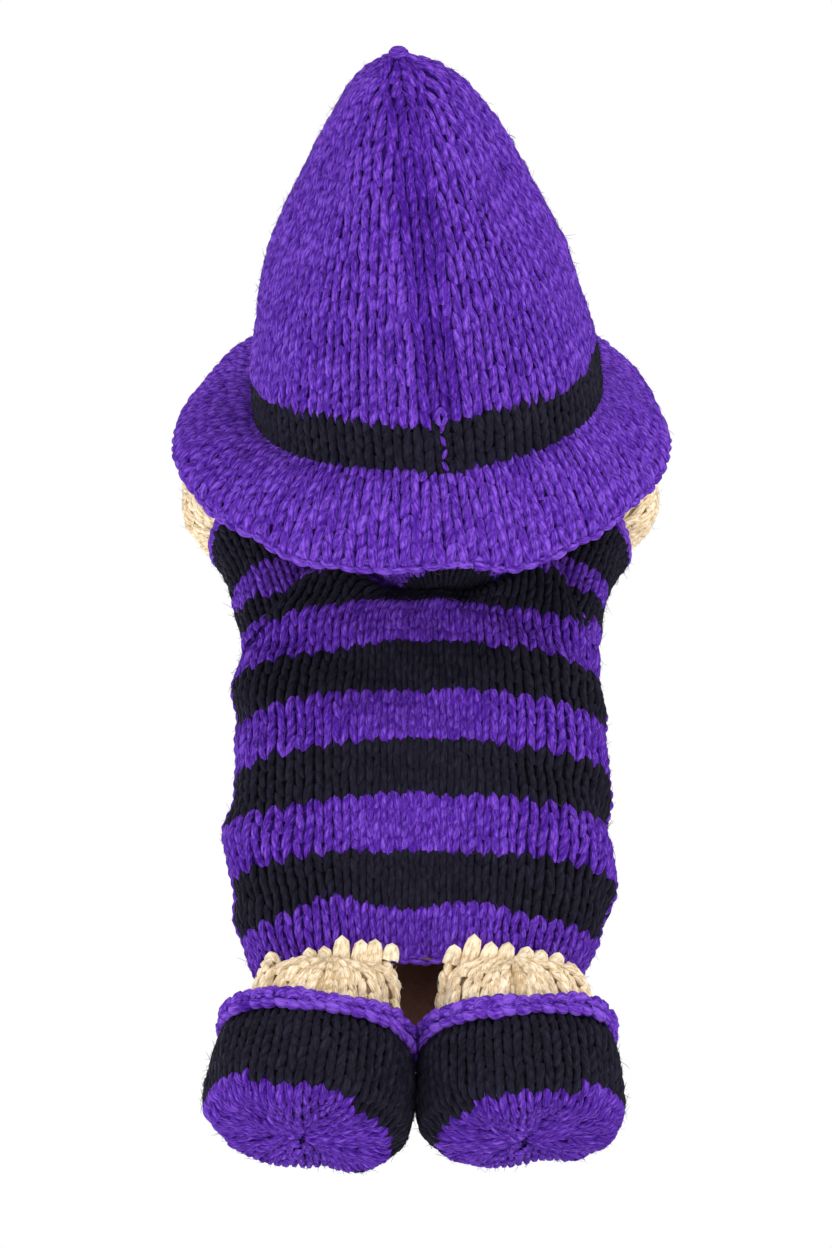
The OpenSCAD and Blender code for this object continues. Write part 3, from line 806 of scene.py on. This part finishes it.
def pucker(skin):
    """The seam draws the hat down a little where it crosses the band."""
    q = head.local(skin.g)
    turn = np.arctan2(q[..., 1], q[..., 0]) - pi / 2
    turn = (turn + pi) % TAU - pi
    q[..., 2] -= 2.6 * bell(turn, 0.13) * bell(q[..., 2] - band_low, 16)
    return Skin(head.out(q), skin.outward)


crown_rows = upright(band_high - 1, cap, 40) + fan(cap, 2, 86, 22)
crown_raw = cast(["hat_crown"], head, crown_rows, cols=128, smoothing=2).finer(3)
crown = pucker(crown_raw.shaped(crown_push))


def crown_count(r):
    girth = crown.girth((r + 0.5) * CROWN_ROW)
    return most_that_fit(girth, (52, 44, 36, 28, 20, 14, 10, 7), 0.86 * CROWN_PITCH, 6)


legs = knit(crown, 0, crown.length - 1, int(crown.length / CROWN_ROW), crown_count, thick=1.1, spin=SEAM,
            slack=0.06)
from_seam = crown.girth(legs["s"]) * ((legs["p"] + 0.5 - SEAM) % 1 - 0.5)
# Painted shade: the stitches darken towards the groove of the seam.
legs["tone"] -= 0.75 * bell(from_seam, 2.8)[:, None]
piece(lay(legs).write("hat_crown_knit", PURPLE), "head", "purple_yarn", "hat_crown")
piece(sheet("hat_crown_inside_knit", crown, 60, 256, PURPLE_BACK_SHADE), "head", "purple_yarn")

band = cast(["hat_band"], head, upright(band_low + 0.3, band_high - 0.3, 12), cols=128).finer(3)
band = pucker(band.shaped(
    lambda s, p, g: waves(s, p, (0.7, 3, 0.2, 0)) - 0.5 - 1.6 * bell(p - SEAM, 0.006)))
o = lay(knit(band, 0, band.length, 4, 54)).write("hat_band_knit", BLACK)
piece(o, "head", "black_yarn", "hat_band")
piece(sheet("hat_band_inside_knit", band, 8, 256, BLACK_BACK_SHADE, s0=-1.0, over=1.0), "head", "black_yarn")

# the brim
BRIM_DEEP = 2.6  # between the skins of its two sides
brim_in = 0.5 * (band_box[1][0] - band_box[0][0])
brim_a = TAU * arange(144) / 144


def brim_rim():
    """How far out and how high the brim's upper edge is, all round."""
    q = head.local(points("hat_brim"))
    angle = np.arctan2(q[:, 1], q[:, 0])
    out = np.hypot(q[:, 0], q[:, 1])
    rim = []
    for a in brim_a:
        near = np.abs((angle - a + pi) % TAU - pi) < np.radians(4)
        far = out[near].max()
        rim.append((far, q[near & (out > far - 1.0), 2].max()))
    rim = array(rim)
    for _ in range(6):
        rim = (np.roll(rim, 1, 0) + 2 * rim + np.roll(rim, -1, 0)) / 4
    return rim.T


def brim_skin():
    """The brim's upper side, wavy and rolled down a little at its rim."""
    rim_r, rim_z = brim_rim()
    t = linspace(0, 1, 26)[:, None]
    a = brim_a[None, :]
    r = brim_in - 1.0 + (rim_r - brim_in + 1.0) * t + 0.4 * t * sin(9 * a) - 1.0
    z = band_low + (rim_z - band_low) * t + 2.5 * sin(pi * t)
    z = z + t ** 1.5 * (1.3 * sin(5 * a + 0.7) + sin(8 * a + 2.0) + 0.5 * sin(13 * a))
    z = z - 1.6 * clip((t - 0.82) / 0.18, 0, 1) ** 2
    skin = pucker(Skin(head.ring(a, r, z)))
    return Skin(skin.g, -1.0) if skin.n[5, 0] @ head.m[2] < 0 else skin


brim_top = brim_skin()
brim_under = Skin(brim_top.g - brim_top.n * BRIM_DEEP, -brim_top.outward)
courses = max(5, int(round(brim_top.length / 4.1)))
y = lay(knit(brim_top, 0.5, brim_top.length - 0.5, courses, 62, thick=1.05, slack=0.12))
chain(y, brim_top, brim_top.length - 0.3, 84, 2.1, lift=-1.3, twist=0.7)
piece(y.write("hat_brim_top_knit", PURPLE), "head", "purple_yarn", "hat_brim")
y = lay(knit(brim_under, 1.5, brim_under.length - 1, courses, 60, thick=0.9, slack=0.1))
piece(y.write("hat_brim_under_knit", PURPLE), "head", "purple_yarn")
for name, skin, inset in (("top", brim_top, 1.2), ("under", brim_under, 0.8)):
    o = sheet("hat_brim_inside_" + name, skin, 20, 120, PURPLE_BACK_SHADE, inset=inset)
    piece(o, "head", "purple_yarn")

# hat seam: sewing stitches in the groove and down the band, a knot at the foot of the crown
y = Yarn()
# The sewing stitches in the seam's groove take a dark tone: painted shade of the groove.
for t in arange(3, crown.length - 12, 5.0):
    half = 1.5 / crown.girth(t) * (1 if int(t / 5) % 2 else -1)
    sew(y, crown, t, t + 3.2, SEAM, half, 0.4, -0.25, (0.35, 0.6, 0.65), 0.25)
for k, t in enumerate((0.8, 4.4, 8.0, 11.6)):
    sew(y, band, t, t + 2.6, SEAM, 0.0035 * (1 if k % 2 else -1), 1.0, 0.5, (0.4, 0.7, 0.75), 0.55)
a = linspace(0, TAU, 25)
pos, nor = crown.at(1.8 + 2.2 * sin(a), SEAM + 1.9 / crown.girth(0) * cos(a))
strand(y, pos + nor * 1.5, 0.8, 0.6, pos.mean(0) - 20 * nor.mean(0))
piece(y.write("hat_seam_sewing", PURPLE), "head", "purple_yarn", "hat_seam_yarn")

y = Yarn()
tip = local_box("hat_tip_yarn", head)[0][2]
a = linspace(0, 5 * pi, 70)
r = interp(a, [0, 5 * pi], [2.6, 1.0])
strand(y, head.ring(a, r, tip + 0.2 + 0.11 * a), 0.8, 0.45, head.out([0, 0, tip - 10]))
piece(y.write("hat_tip_drawstring", PURPLE), "head", "purple_yarn", "hat_tip_yarn")

# ---- the face ----

head_centre = head.out([0, 0, head_mid])


def on_head(node, lift):
    """A frame on the head's surface where a node is, with Z out of the head."""
    d = unit(points(node).mean(0) - head_centre)
    return Axes(head_centre + d * (head_r + lift), d)


def dome(axes, r, h, t0, t1, rows, cols):
    """Part of an ellipsoid round a frame's Z, between angles t0 and t1 above its level."""
    t = linspace(t0, t1, rows)[:, None]
    return Skin(axes.ring(TAU * arange(cols)[None] / cols, r * cos(t), h * sin(t)))


for side in SIDES:
    bead = dome(on_head(side + "_eye", 0.2), 4, 3, 0, pi / 2, 12, 28)
    o = sheet(side + "_eye_bead", bead, 20, 40, BEAD, inset=0.0)
    piece(o, "head", "black_bead", side + "_eye")

nose_at = on_head("nose", -0.5)
nose = dome(nose_at, 6, 7, -0.15, pi / 2 - 0.03, 16, 48)
legs = knit(nose, 0, nose.length - 0.4, 4, lambda r: (12, 11, 9, 6)[r], thick=0.75, deep=0.95)
piece(lay(legs).write("nose_knit", CREAM), "head", "cream_yarn", "nose")
piece(sheet("nose_inside", nose, 12, 32, CREAM_BACK_SHADE, inset=0.8), "head", "cream_yarn")

# the mouth: stitches along the middles of slices of its yarn
m = points("mouth_yarn")
along = Axes(head_centre, nose_at.m[2]).local(m)[:, 0]
mid = array([g.mean(0) for g in np.array_split(m[np.argsort(along)], 13)])
mid = head_centre + unit(mid - head_centre) * (head_r + 0.75)
t = linspace(-0.12, 1.12, 6)[:, None]
bow = (0.7 * sin(linspace(0, pi, 6)) - 0.1)[:, None]
y = Yarn()
for a, b in zip(mid[:-1], mid[1:]):
    path = a * (1 - t) + b * t
    strand(y, path + unit(path - head_centre) * bow, 0.85, 0.5, head_centre)
piece(y.write("mouth_stitches", RED), "head", "red_yarn", "mouth_yarn")

# ---- neck: the finger tube, and the gathered cloth between the dress and the head ----

tube_low, tube_high = (c[2] for c in local_box("neck_tube", head))
tube = cast(["neck_tube"], head, upright(tube_low + 0.3, tube_high - 0.3, 20), cols=64)
legs = knit(tube, 0, tube.length, int(tube.length / 3.9), 14, thick=0.7, lift=-1.3)
piece(lay(legs).write("neck_tube_knit", CREAM), "neck", "cream_yarn", "neck_tube")
piece(sheet("neck_tube_inside", tube, 16, 48, CREAM_BACK_SHADE, inset=2.1), "neck", "cream_yarn")

# the yoke: the dress goes on over the shoulders and up against the head, where it ends in a collar
YOKE_ROWS = 44
SHOULDER = 9.5  # how much fuller the yoke is over each shoulder

a = TAU * arange(DRESS_COLS) / DRESS_COLS
at_back = clip(sin(a), 0, 1)
inside = array([neck[0] / 2, neck[1], 0.74 * neck[2]])
low_ring = dress.g[-1]
t = linspace(0, 0.97, 18)[1:, None, None]
ways = unit((1 - t) * (low_ring - inside) + t * (tie.ring(a, tie_r, 0) - inside))
centres = repeat(inside[None], len(ways), 0)
reach = reach_of(["dress_back", "dress_front"], centres, ways)
over = centres[:, None] + ways * smooth(reach[..., None], 2)
beside = np.abs(over[..., 0] - neck[0]) - tie_r
over = over + UP * (SHOULDER * bell(beside - 11, 10) * sin(pi / 2 * t[..., 0]))[..., None]
rise = 14.5 + 5.0 * np.maximum(sin(a), -0.5) + 2.5 * at_back ** 4  # along the head's axis
high_ring = head.ring(a, np.sqrt(head_r ** 2 - (head_mid - rise) ** 2) + 0.9, rise)
t = linspace(0, 1, 12)[1:, None, None]
middle = (over[-1] + high_ring) / 2
middle = middle + 1.2 * unit(middle - head.out([0, 0, 6]))
collar = (1 - t) ** 2 * over[-1] + 2 * t * (1 - t) * middle + t ** 2 * high_ring
collar = collar + unit(collar - head.out([0, 0, 8])) * 0.5 * cos(26 * a)[None, :, None] * t
line = smooth(concatenate([low_ring[None], over, collar]), 1)
line[0] = low_ring
steps = norm(np.diff(line, axis=0), axis=2)
away = concatenate([np.zeros((1, DRESS_COLS)), np.cumsum(steps, 0)])
yoke_length = away[-1]
yoke = Skin(stack([resample(linspace(0, yoke_length[c], YOKE_ROWS), away[:, c], line[:, c])
                   for c in range(DRESS_COLS)], 1))
black_part = (STRIPE - 1) * 3.5 + 16 * at_back ** 6


def at_p(values, p):
    return interp(p * DRESS_COLS, arange(DRESS_COLS + 1), np.append(values, values[0]))


legs = knit_wales(yoke, stitches_round, 3.6, keep=outside_sleeves(yoke, 11.5), slack=0.05)
is_black = legs["s"] / yoke.length * at_p(yoke_length, legs["p"]) < at_p(black_part, legs["p"])
start, end = ((neck[0], neck[1], low_ring[:, 2].mean() + z) for z in (0.5, 8))
o = lay(legs, is_black).write("dress_yoke_black_knit", BLACK)
bridge(o, start, end)
o = lay(legs, ~is_black).write("dress_yoke_purple_knit", PURPLE)
bridge(o, start, end)
o = sheet("dress_yoke_inside", yoke, YOKE_ROWS, DRESS_COLS, PURPLE_BACK_SHADE, other=BLACK_BACK_SHADE,
          is_other=lambda part, p: part * at_p(yoke_length, p) < at_p(black_part, p))
bridge(o, start, end)

# ---- the arms ----

BLACK_BAND = 9.5  # height of the dress's top black stripe where it runs on under the sleeve
CUFF = 6  # rounds of the sleeve's cuff
HAND_ROW = 4.0


def sleeve_skin(side, ax):
    """Its foot widens where it meets the dress, and the rest is a little slimmer than the CAD sleeve."""
    top = local_box(side + "_sleeve", ax)[1][2]
    skin = cast([side + "_sleeve"], ax, upright(-9, top - 0.3, 36), cols=64, smoothing=2)
    q = ax.local(skin.g)
    z = q[..., 2]
    wider = 4.0 * clip((4 - z) / 16, 0, 1) ** 1.4 - 0.8 * clip((z - 4) / 12, 0, 1)
    q[..., :2] *= 1 + (wider / np.hypot(q[..., 0], q[..., 1]))[..., None]
    return Skin(ax.out(q)).shaped(lambda s, p, g: waves(s, p, (0.5, 2, 0, 0.13), (0.45, 5, 0, -0.2)) - 0.2)


def make_sleeve(side, ax):
    sleeve = sleeve_skin(side, ax)
    courses = int(round(sleeve.length / 3.85))
    side_p = 0.0 if side == "left" else 0.5
    side_top = dress.at(array([dress.length]), array([side_p]))[0][0, 2]

    def is_purple(s, p, from_cuff):
        height = sleeve.at(s, p)[0][..., 2] - side_top
        return (from_cuff >= CUFF) & ~((height > 0) & (height < BLACK_BAND))

    legs = knit(sleeve, 0, sleeve.length - 0.8, courses, 17, slack=0.06)
    purple = is_purple(legs["s"], legs["p"], courses - 1 - legs["row"])
    black_knit = lay(legs, ~purple).write(f"{side}_sleeve_black_knit", BLACK)
    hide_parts(side + "_sleeve")
    y = lay(legs, purple)
    chain(y, sleeve, sleeve.length - 0.2, 22, 1.5, lift=0.2)
    chain(y, sleeve, sleeve.length - 1.8, 20, 1.3, lift=0.5)
    purple_knit = y.write(f"{side}_sleeve_purple_knit", PURPLE)
    inside = sheet(f"{side}_sleeve_inside", sleeve, 41, 56, BLACK_BACK_SHADE, other=PURPLE_BACK_SHADE,
                   is_other=lambda part, p: is_purple(part * sleeve.length, p, (1 - part) * courses))
    for o, slot in ((black_knit, "black_yarn"), (purple_knit, "purple_yarn"), (inside, "black_yarn")):
        bridge(o, ax.out([0, 0, -6]), ax.out([0, 0, 9]))


def make_hand(side, ax):
    """A stuffed ball, gathered at the wrist."""
    mitt = side + "_mitt"
    low, high = local_box(side + "_hand", ax)
    radius = (high[0] - low[0]) / 2
    mid = high[2] - radius

    def hand_push(s, p, g):
        z = (ax.local(g)[..., 2] - mid) / radius
        near = clip((-z - 0.15) / 0.8, 0, 1)
        folds = near * (1.5 * cos(TAU * 9 * p + 0.8 * sin(6 * pi * p)) - 0.8)
        lumps = waves(s, p, (0.6, 2, 0, 0.15), (0.35, 5, 0, 0.3))
        return folds + lumps * clip(1 - z ** 4, 0, 1) - 0.3

    ball = cast([side + "_hand"], ax, fan(mid, -74, 87, 64), cols=96).shaped(hand_push)

    def hand_count(r):
        return most_that_fit(ball.girth((r + 0.5) * HAND_ROW), (20, 16, 12, 9, 6), 4.6, 5)

    legs = knit(ball, 0, ball.length - 0.5, int(ball.length / HAND_ROW), hand_count, slack=0.08)
    o = piece(lay(legs).write(f"{side}_hand_knit", CREAM), mitt, "cream_yarn", side + "_hand")
    piece(sheet(f"{side}_hand_inside", ball, 40, 72, CREAM_BACK_SHADE), mitt, "cream_yarn")
    low, high = local_box(side + "_wrist_yarn", ax)
    a = linspace(0, 4 * pi, 90)
    y = Yarn()
    strand(y, ax.ring(a, (high[0] - low[0]) / 2 - 0.4, low[2] + 0.5 + 0.12 * a), 0.75, 0.4,
           ax.out([0, 0, low[2]]))
    piece(y.write(f"{side}_wrist_gathering_yarn", CREAM), mitt, "cream_yarn", side + "_wrist_yarn")


for side in SIDES:
    make_sleeve(side, arm[side])
    make_hand(side, arm[side])

# ---- legs and shoes ----

LOOPS = 8  # loops along a leg's top edge
ROPE = 3.8  # length of a bump of the shoe's rolled edge
SOLE_TILT = 3.5  # how far the sole's edge rises and falls round the shoe


def leg_push(s, p, g):
    """Gathers, and a seam down the back."""
    gathers = 0.8 * cos(TAU * 15 * p)
    return gathers + waves(s, p, (0.6, 4, 0, 0.2)) - 0.5 * bell(p - 0.25, 0.012) + 0.2


def make_leg(side):
    pts = points(side + "_leg")
    rows = []
    for z in linspace(pts[:, 2].min() + 2.5, pts[:, 2].max() - 0.3, 24):
        near = pts[np.abs(pts[:, 2] - z) < 3.5]
        x, y, _ = (near.min(0) + near.max(0)) / 2
        rows.append((x, y, z, 0.0))
    leg = cast([side + "_leg"], world, rows, cols=96, smoothing=2, keep_from=0.5).shaped(leg_push)
    courses = max(4, int(round(leg.length / 4.9)))
    legs = knit(leg, 0, leg.length + 1.0, courses, 18, thick=1.4, slack=0.12)
    # Painted shade: the stitches darken along the groove of the seam down the back.
    legs["tone"] -= 0.2 * bell(legs["p"] - 0.25, 0.03)[:, None]
    hip = joint_at(side + "_hip")
    start, end = hip + [0, 0, 3.0], hip + [0, 0, -9.0]
    o = lay(legs).write(f"{side}_leg_knit", CREAM)
    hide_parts(side + "_leg")
    bridge(o, start, end)
    o = sheet(f"{side}_leg_inside", leg, 24, 72, CREAM_BACK_SHADE, inset=1.2)
    bridge(o, start, end)


def make_loops(side):
    """Loops of the leg's cast-on edge, sewn over the hem. They leave room between the two legs."""
    edge = points(side + "_leg_edge")[:, 0]
    low = edge.min() + (4.5 if side == "right" else 0)
    high = edge.max() - (4.5 if side == "left" else 0)
    back_p = linspace(0.02, 0.48, 400)
    hem_x = dress.at(np.full(400, 2.0), back_p)[0][:, 0]
    width = (high - low) / LOOPS / dress.girth(2.0)
    t = linspace(0, pi, 11)[None]
    y = Yarn()
    for i in range(LOOPS):
        part = (i + 0.5) / LOOPS
        p = back_p[np.argmin(np.abs(hem_x - (low + (high - low) * part)))]
        top = 3.2 + rng.normal(0, 0.9)
        ps = p + 0.3 * width * (cos(t) + sin(t)) + 0.15 * width * rng.normal()
        root = 0.5 - 4.0 * (1 - abs(2 * part - 1) ** 3)
        pos, nor = dress.at(root + (top - root) * sin(t) ** 1.1, ps)
        pos = pos + nor * (1.5 + 0.8 * sin(t))[..., None]
        r = 1.5 + 0.15 * sin(t)
        y.add(pos, nor, r, r, array([0.55 + 0.1 * rng.normal()]), sides=8)
    piece(y.write(f"{side}_leg_edge_loops", CREAM), "dress", "cream_yarn", side + "_leg_edge")


def make_shoe(side):
    """One skin from the rolled edge to the middle of the sole."""
    foot = side + "_foot"
    nodes = [f"{side}_shoe_{part}" for part in ("cuff", "upper", "sole")]
    inner = -1 if side == "left" else 1  # the way to the other shoe, along X
    ax = ring_frame(points(nodes[0]), x=[1, 0, 0])
    cuff_low, cuff_high = (c[2] for c in local_box(nodes[0], ax))
    low, high = local_box(nodes[2], ax)
    x, y = (low[:2] + high[:2]) / 2
    rows = fan(cuff_high - 7, 14, 2, 8, x, y) + upright(cuff_low, low[2] + 4.0, 24, x, y)
    rows += [(x, y, low[2] + 6, -math.degrees(math.atan2(6, r))) for r in linspace(27, 1.5, 26)]

    def shoe_push(s, p, g):
        """Gathers under the sole, soft lumps, and a flatter side that leans on the other shoe."""
        under = clip((low[2] + 7 - ax.local(g)[..., 2]) / 5, 0, 1)
        gathers = 0.5 * cos(TAU * 9 * p + 1.2 * sin(4 * pi * p)) + 0.4 * cos(TAU * 5 * p)
        lumps = waves(s, p, (0.7, 3, 0, 0.1), (0.4, 6, 0, -0.16))
        towards = clip(inner * cos(TAU * p), 0, 1) ** 6
        return under * gathers + lumps * (1 - 0.7 * towards) + 0.7 * towards - 0.3

    shoe = cast(nodes, ax, rows, cols=96, smoothing=2, outward=-1.0).shaped(shoe_push)
    down = -ax.local(shoe.g)[..., 2].mean(1)
    s_cuff = interp(-(cuff_low + 0.6), down, shoe.s)
    s_sole = interp(-(high[2] - 4.5), down, shoe.s)
    s_end = shoe.length - 1.0

    def in_upper(s, p):
        """The change of colour is lower on the inner side."""
        return s - SOLE_TILT * inner * cos(TAU * p) < s_sole

    courses = max(4, int(round((s_sole - s_cuff) / 3.7)))
    upper = knit(shoe, s_sole, s_cuff, courses, 32, thick=1.05, slack=0.06)
    y = Yarn()
    for s, lift, size in ((0.6, 0.2, 2.2), (s_cuff - 2.4, 0.8, 2.6)):
        chain(y, shoe, s, round(shoe.girth(s) / ROPE), size, lift=lift, twist=0.7, wave=0.25)
    piece(y.write(f"{side}_shoe_cuff_knit", PURPLE), foot, "purple_yarn", nodes[0])
    sole_rows = int(round((s_end - s_sole) / 4.0))

    def sole_count(r):
        girth = shoe.girth(s_end + (r + 0.5) * (s_sole - s_end) / sole_rows)
        return most_that_fit(girth, (32, 26, 20, 14, 10, 7), 4.3, 5)

    sole = knit(shoe, s_end, s_sole, sole_rows, sole_count, thick=1.05, slack=0.15)
    # Painted shade: the sole, which faces down, is darker than the rest of the same yarn.
    sole["tone"] -= 0.12
    black, purple = Yarn(), Yarn()
    for legs in (upper, sole):
        is_black = in_upper(legs["s"], legs["p"])
        put(black, legs, is_black)
        put(purple, legs, ~is_black)
    piece(black.write(f"{side}_shoe_upper_knit", BLACK), foot, "black_yarn", nodes[1])
    o = piece(purple.write(f"{side}_shoe_sole_knit", PURPLE), foot, "purple_yarn", nodes[2])

    # the rolled edge turns in to the leg and hides the filling
    middle = shoe.g[0].mean(0)
    rim = Skin(middle + (shoe.g[0] - middle) * linspace(1.04, 0.2, 8)[:, None, None] - ax.m[2] * 1.5)
    o = lay(knit(rim, 0, rim.length, 5, 24, thick=0.9, slack=0.05))
    piece(o.write(f"{side}_shoe_edge_turned_in", PURPLE), foot, "purple_yarn")
    piece(sheet(f"{side}_shoe_edge_inside", rim, 8, 48, PURPLE_BACK_SHADE), foot, "purple_yarn")

    def in_black(part, p):
        s = part * shoe.length
        return (s > s_cuff) & in_upper(s, p)

    piece(sheet(f"{side}_shoe_inside", shoe, 60, 96, PURPLE_BACK_SHADE, other=BLACK_BACK_SHADE,
                is_other=in_black), foot, "purple_yarn")


for side in SIDES:
    make_leg(side)
    make_loops(side)
    make_shoe(side)

# fillings are closed inside their covers
for node, o in frame["nodes"].items():
    if node.endswith("stuffing"):
        o.data.materials.clear()
        o.data.materials.append(FILLING)

# ---- camera, light, floor: lengths in metres ----

FROM_BELOW = math.radians(20)  # the camera looks up at the puppet's back
WHITE = (1, 1, 1)

scene = bpy.context.scene
lens = bpy.data.cameras.new("camera")
lens.sensor_width = 36
lens.lens = 137.13
lens.clip_end = 20
camera = link("camera", lens)
aim = Vector((0.0013, 0.0224, 0.1046))
camera.location = aim + 1.4 * Vector((0, math.cos(FROM_BELOW), -math.sin(FROM_BELOW)))
camera.rotation_euler = (aim - camera.location).to_track_quat("-Z", "Y").to_euler()
scene.camera = camera

pale, _, shader = new_material("pale_floor")
dial(shader, Base_Color=(0.9, 0.9, 0.9, 1), Roughness=0.8, Emission_Color=(*WHITE, 1),
     Emission_Strength=0.3)
bpy.ops.mesh.primitive_plane_add(size=60, location=(0, 0, -0.62))
floor = bpy.context.object
floor.name = "floor"
floor.data.materials.append(pale)


def area(name, place, size, power, colour=WHITE):
    light = bpy.data.lights.new(name, "AREA")
    light.shape = "DISK"
    light.size = size
    light.energy = power
    light.color = colour
    o = link(name, light)
    o.location = place
    o.rotation_euler = (Vector((0, 0, 0.1)) - Vector(place)).to_track_quat("-Z", "Y").to_euler()


area("key_light", (-0.55, 0.9, 0.85), 0.7, 11.6, (1.0, 0.985, 0.96))
area("fill_light", (0.9, 0.9, 0.15), 0.9, 5.4, (0.97, 0.98, 1.0))
area("front_light", (0.5, -1.1, 0.6), 0.9, 9.0)
area("left_light", (1.05, 0.3, -0.1), 0.6, 5.5)
area("right_light", (-1.05, 0.3, -0.1), 0.6, 5.5)
area("low_light", (0.0, 0.9, -0.5), 0.8, 2.6)

# the world lights the puppet softly, and the camera sees it as white
scene.world = bpy.data.worlds.new("studio")
scene.world.use_nodes = True
n = scene.world.node_tree
soft = n.nodes["Background"]
dial(soft, Color=(*WHITE, 1), Strength=0.46)
seen = new(n, "Background", Color=(*WHITE, 1), Strength=1.0)
mix = new(n, "MixShader")
n.links.new(new(n, "LightPath").outputs["Is Camera Ray"], mix.inputs[0])
n.links.new(soft.outputs[0], mix.inputs[1])
n.links.new(seen.outputs[0], mix.inputs[2])
n.links.new(mix.outputs[0], n.nodes["World Output"].inputs[0])
scene.view_settings.view_transform = "Standard"
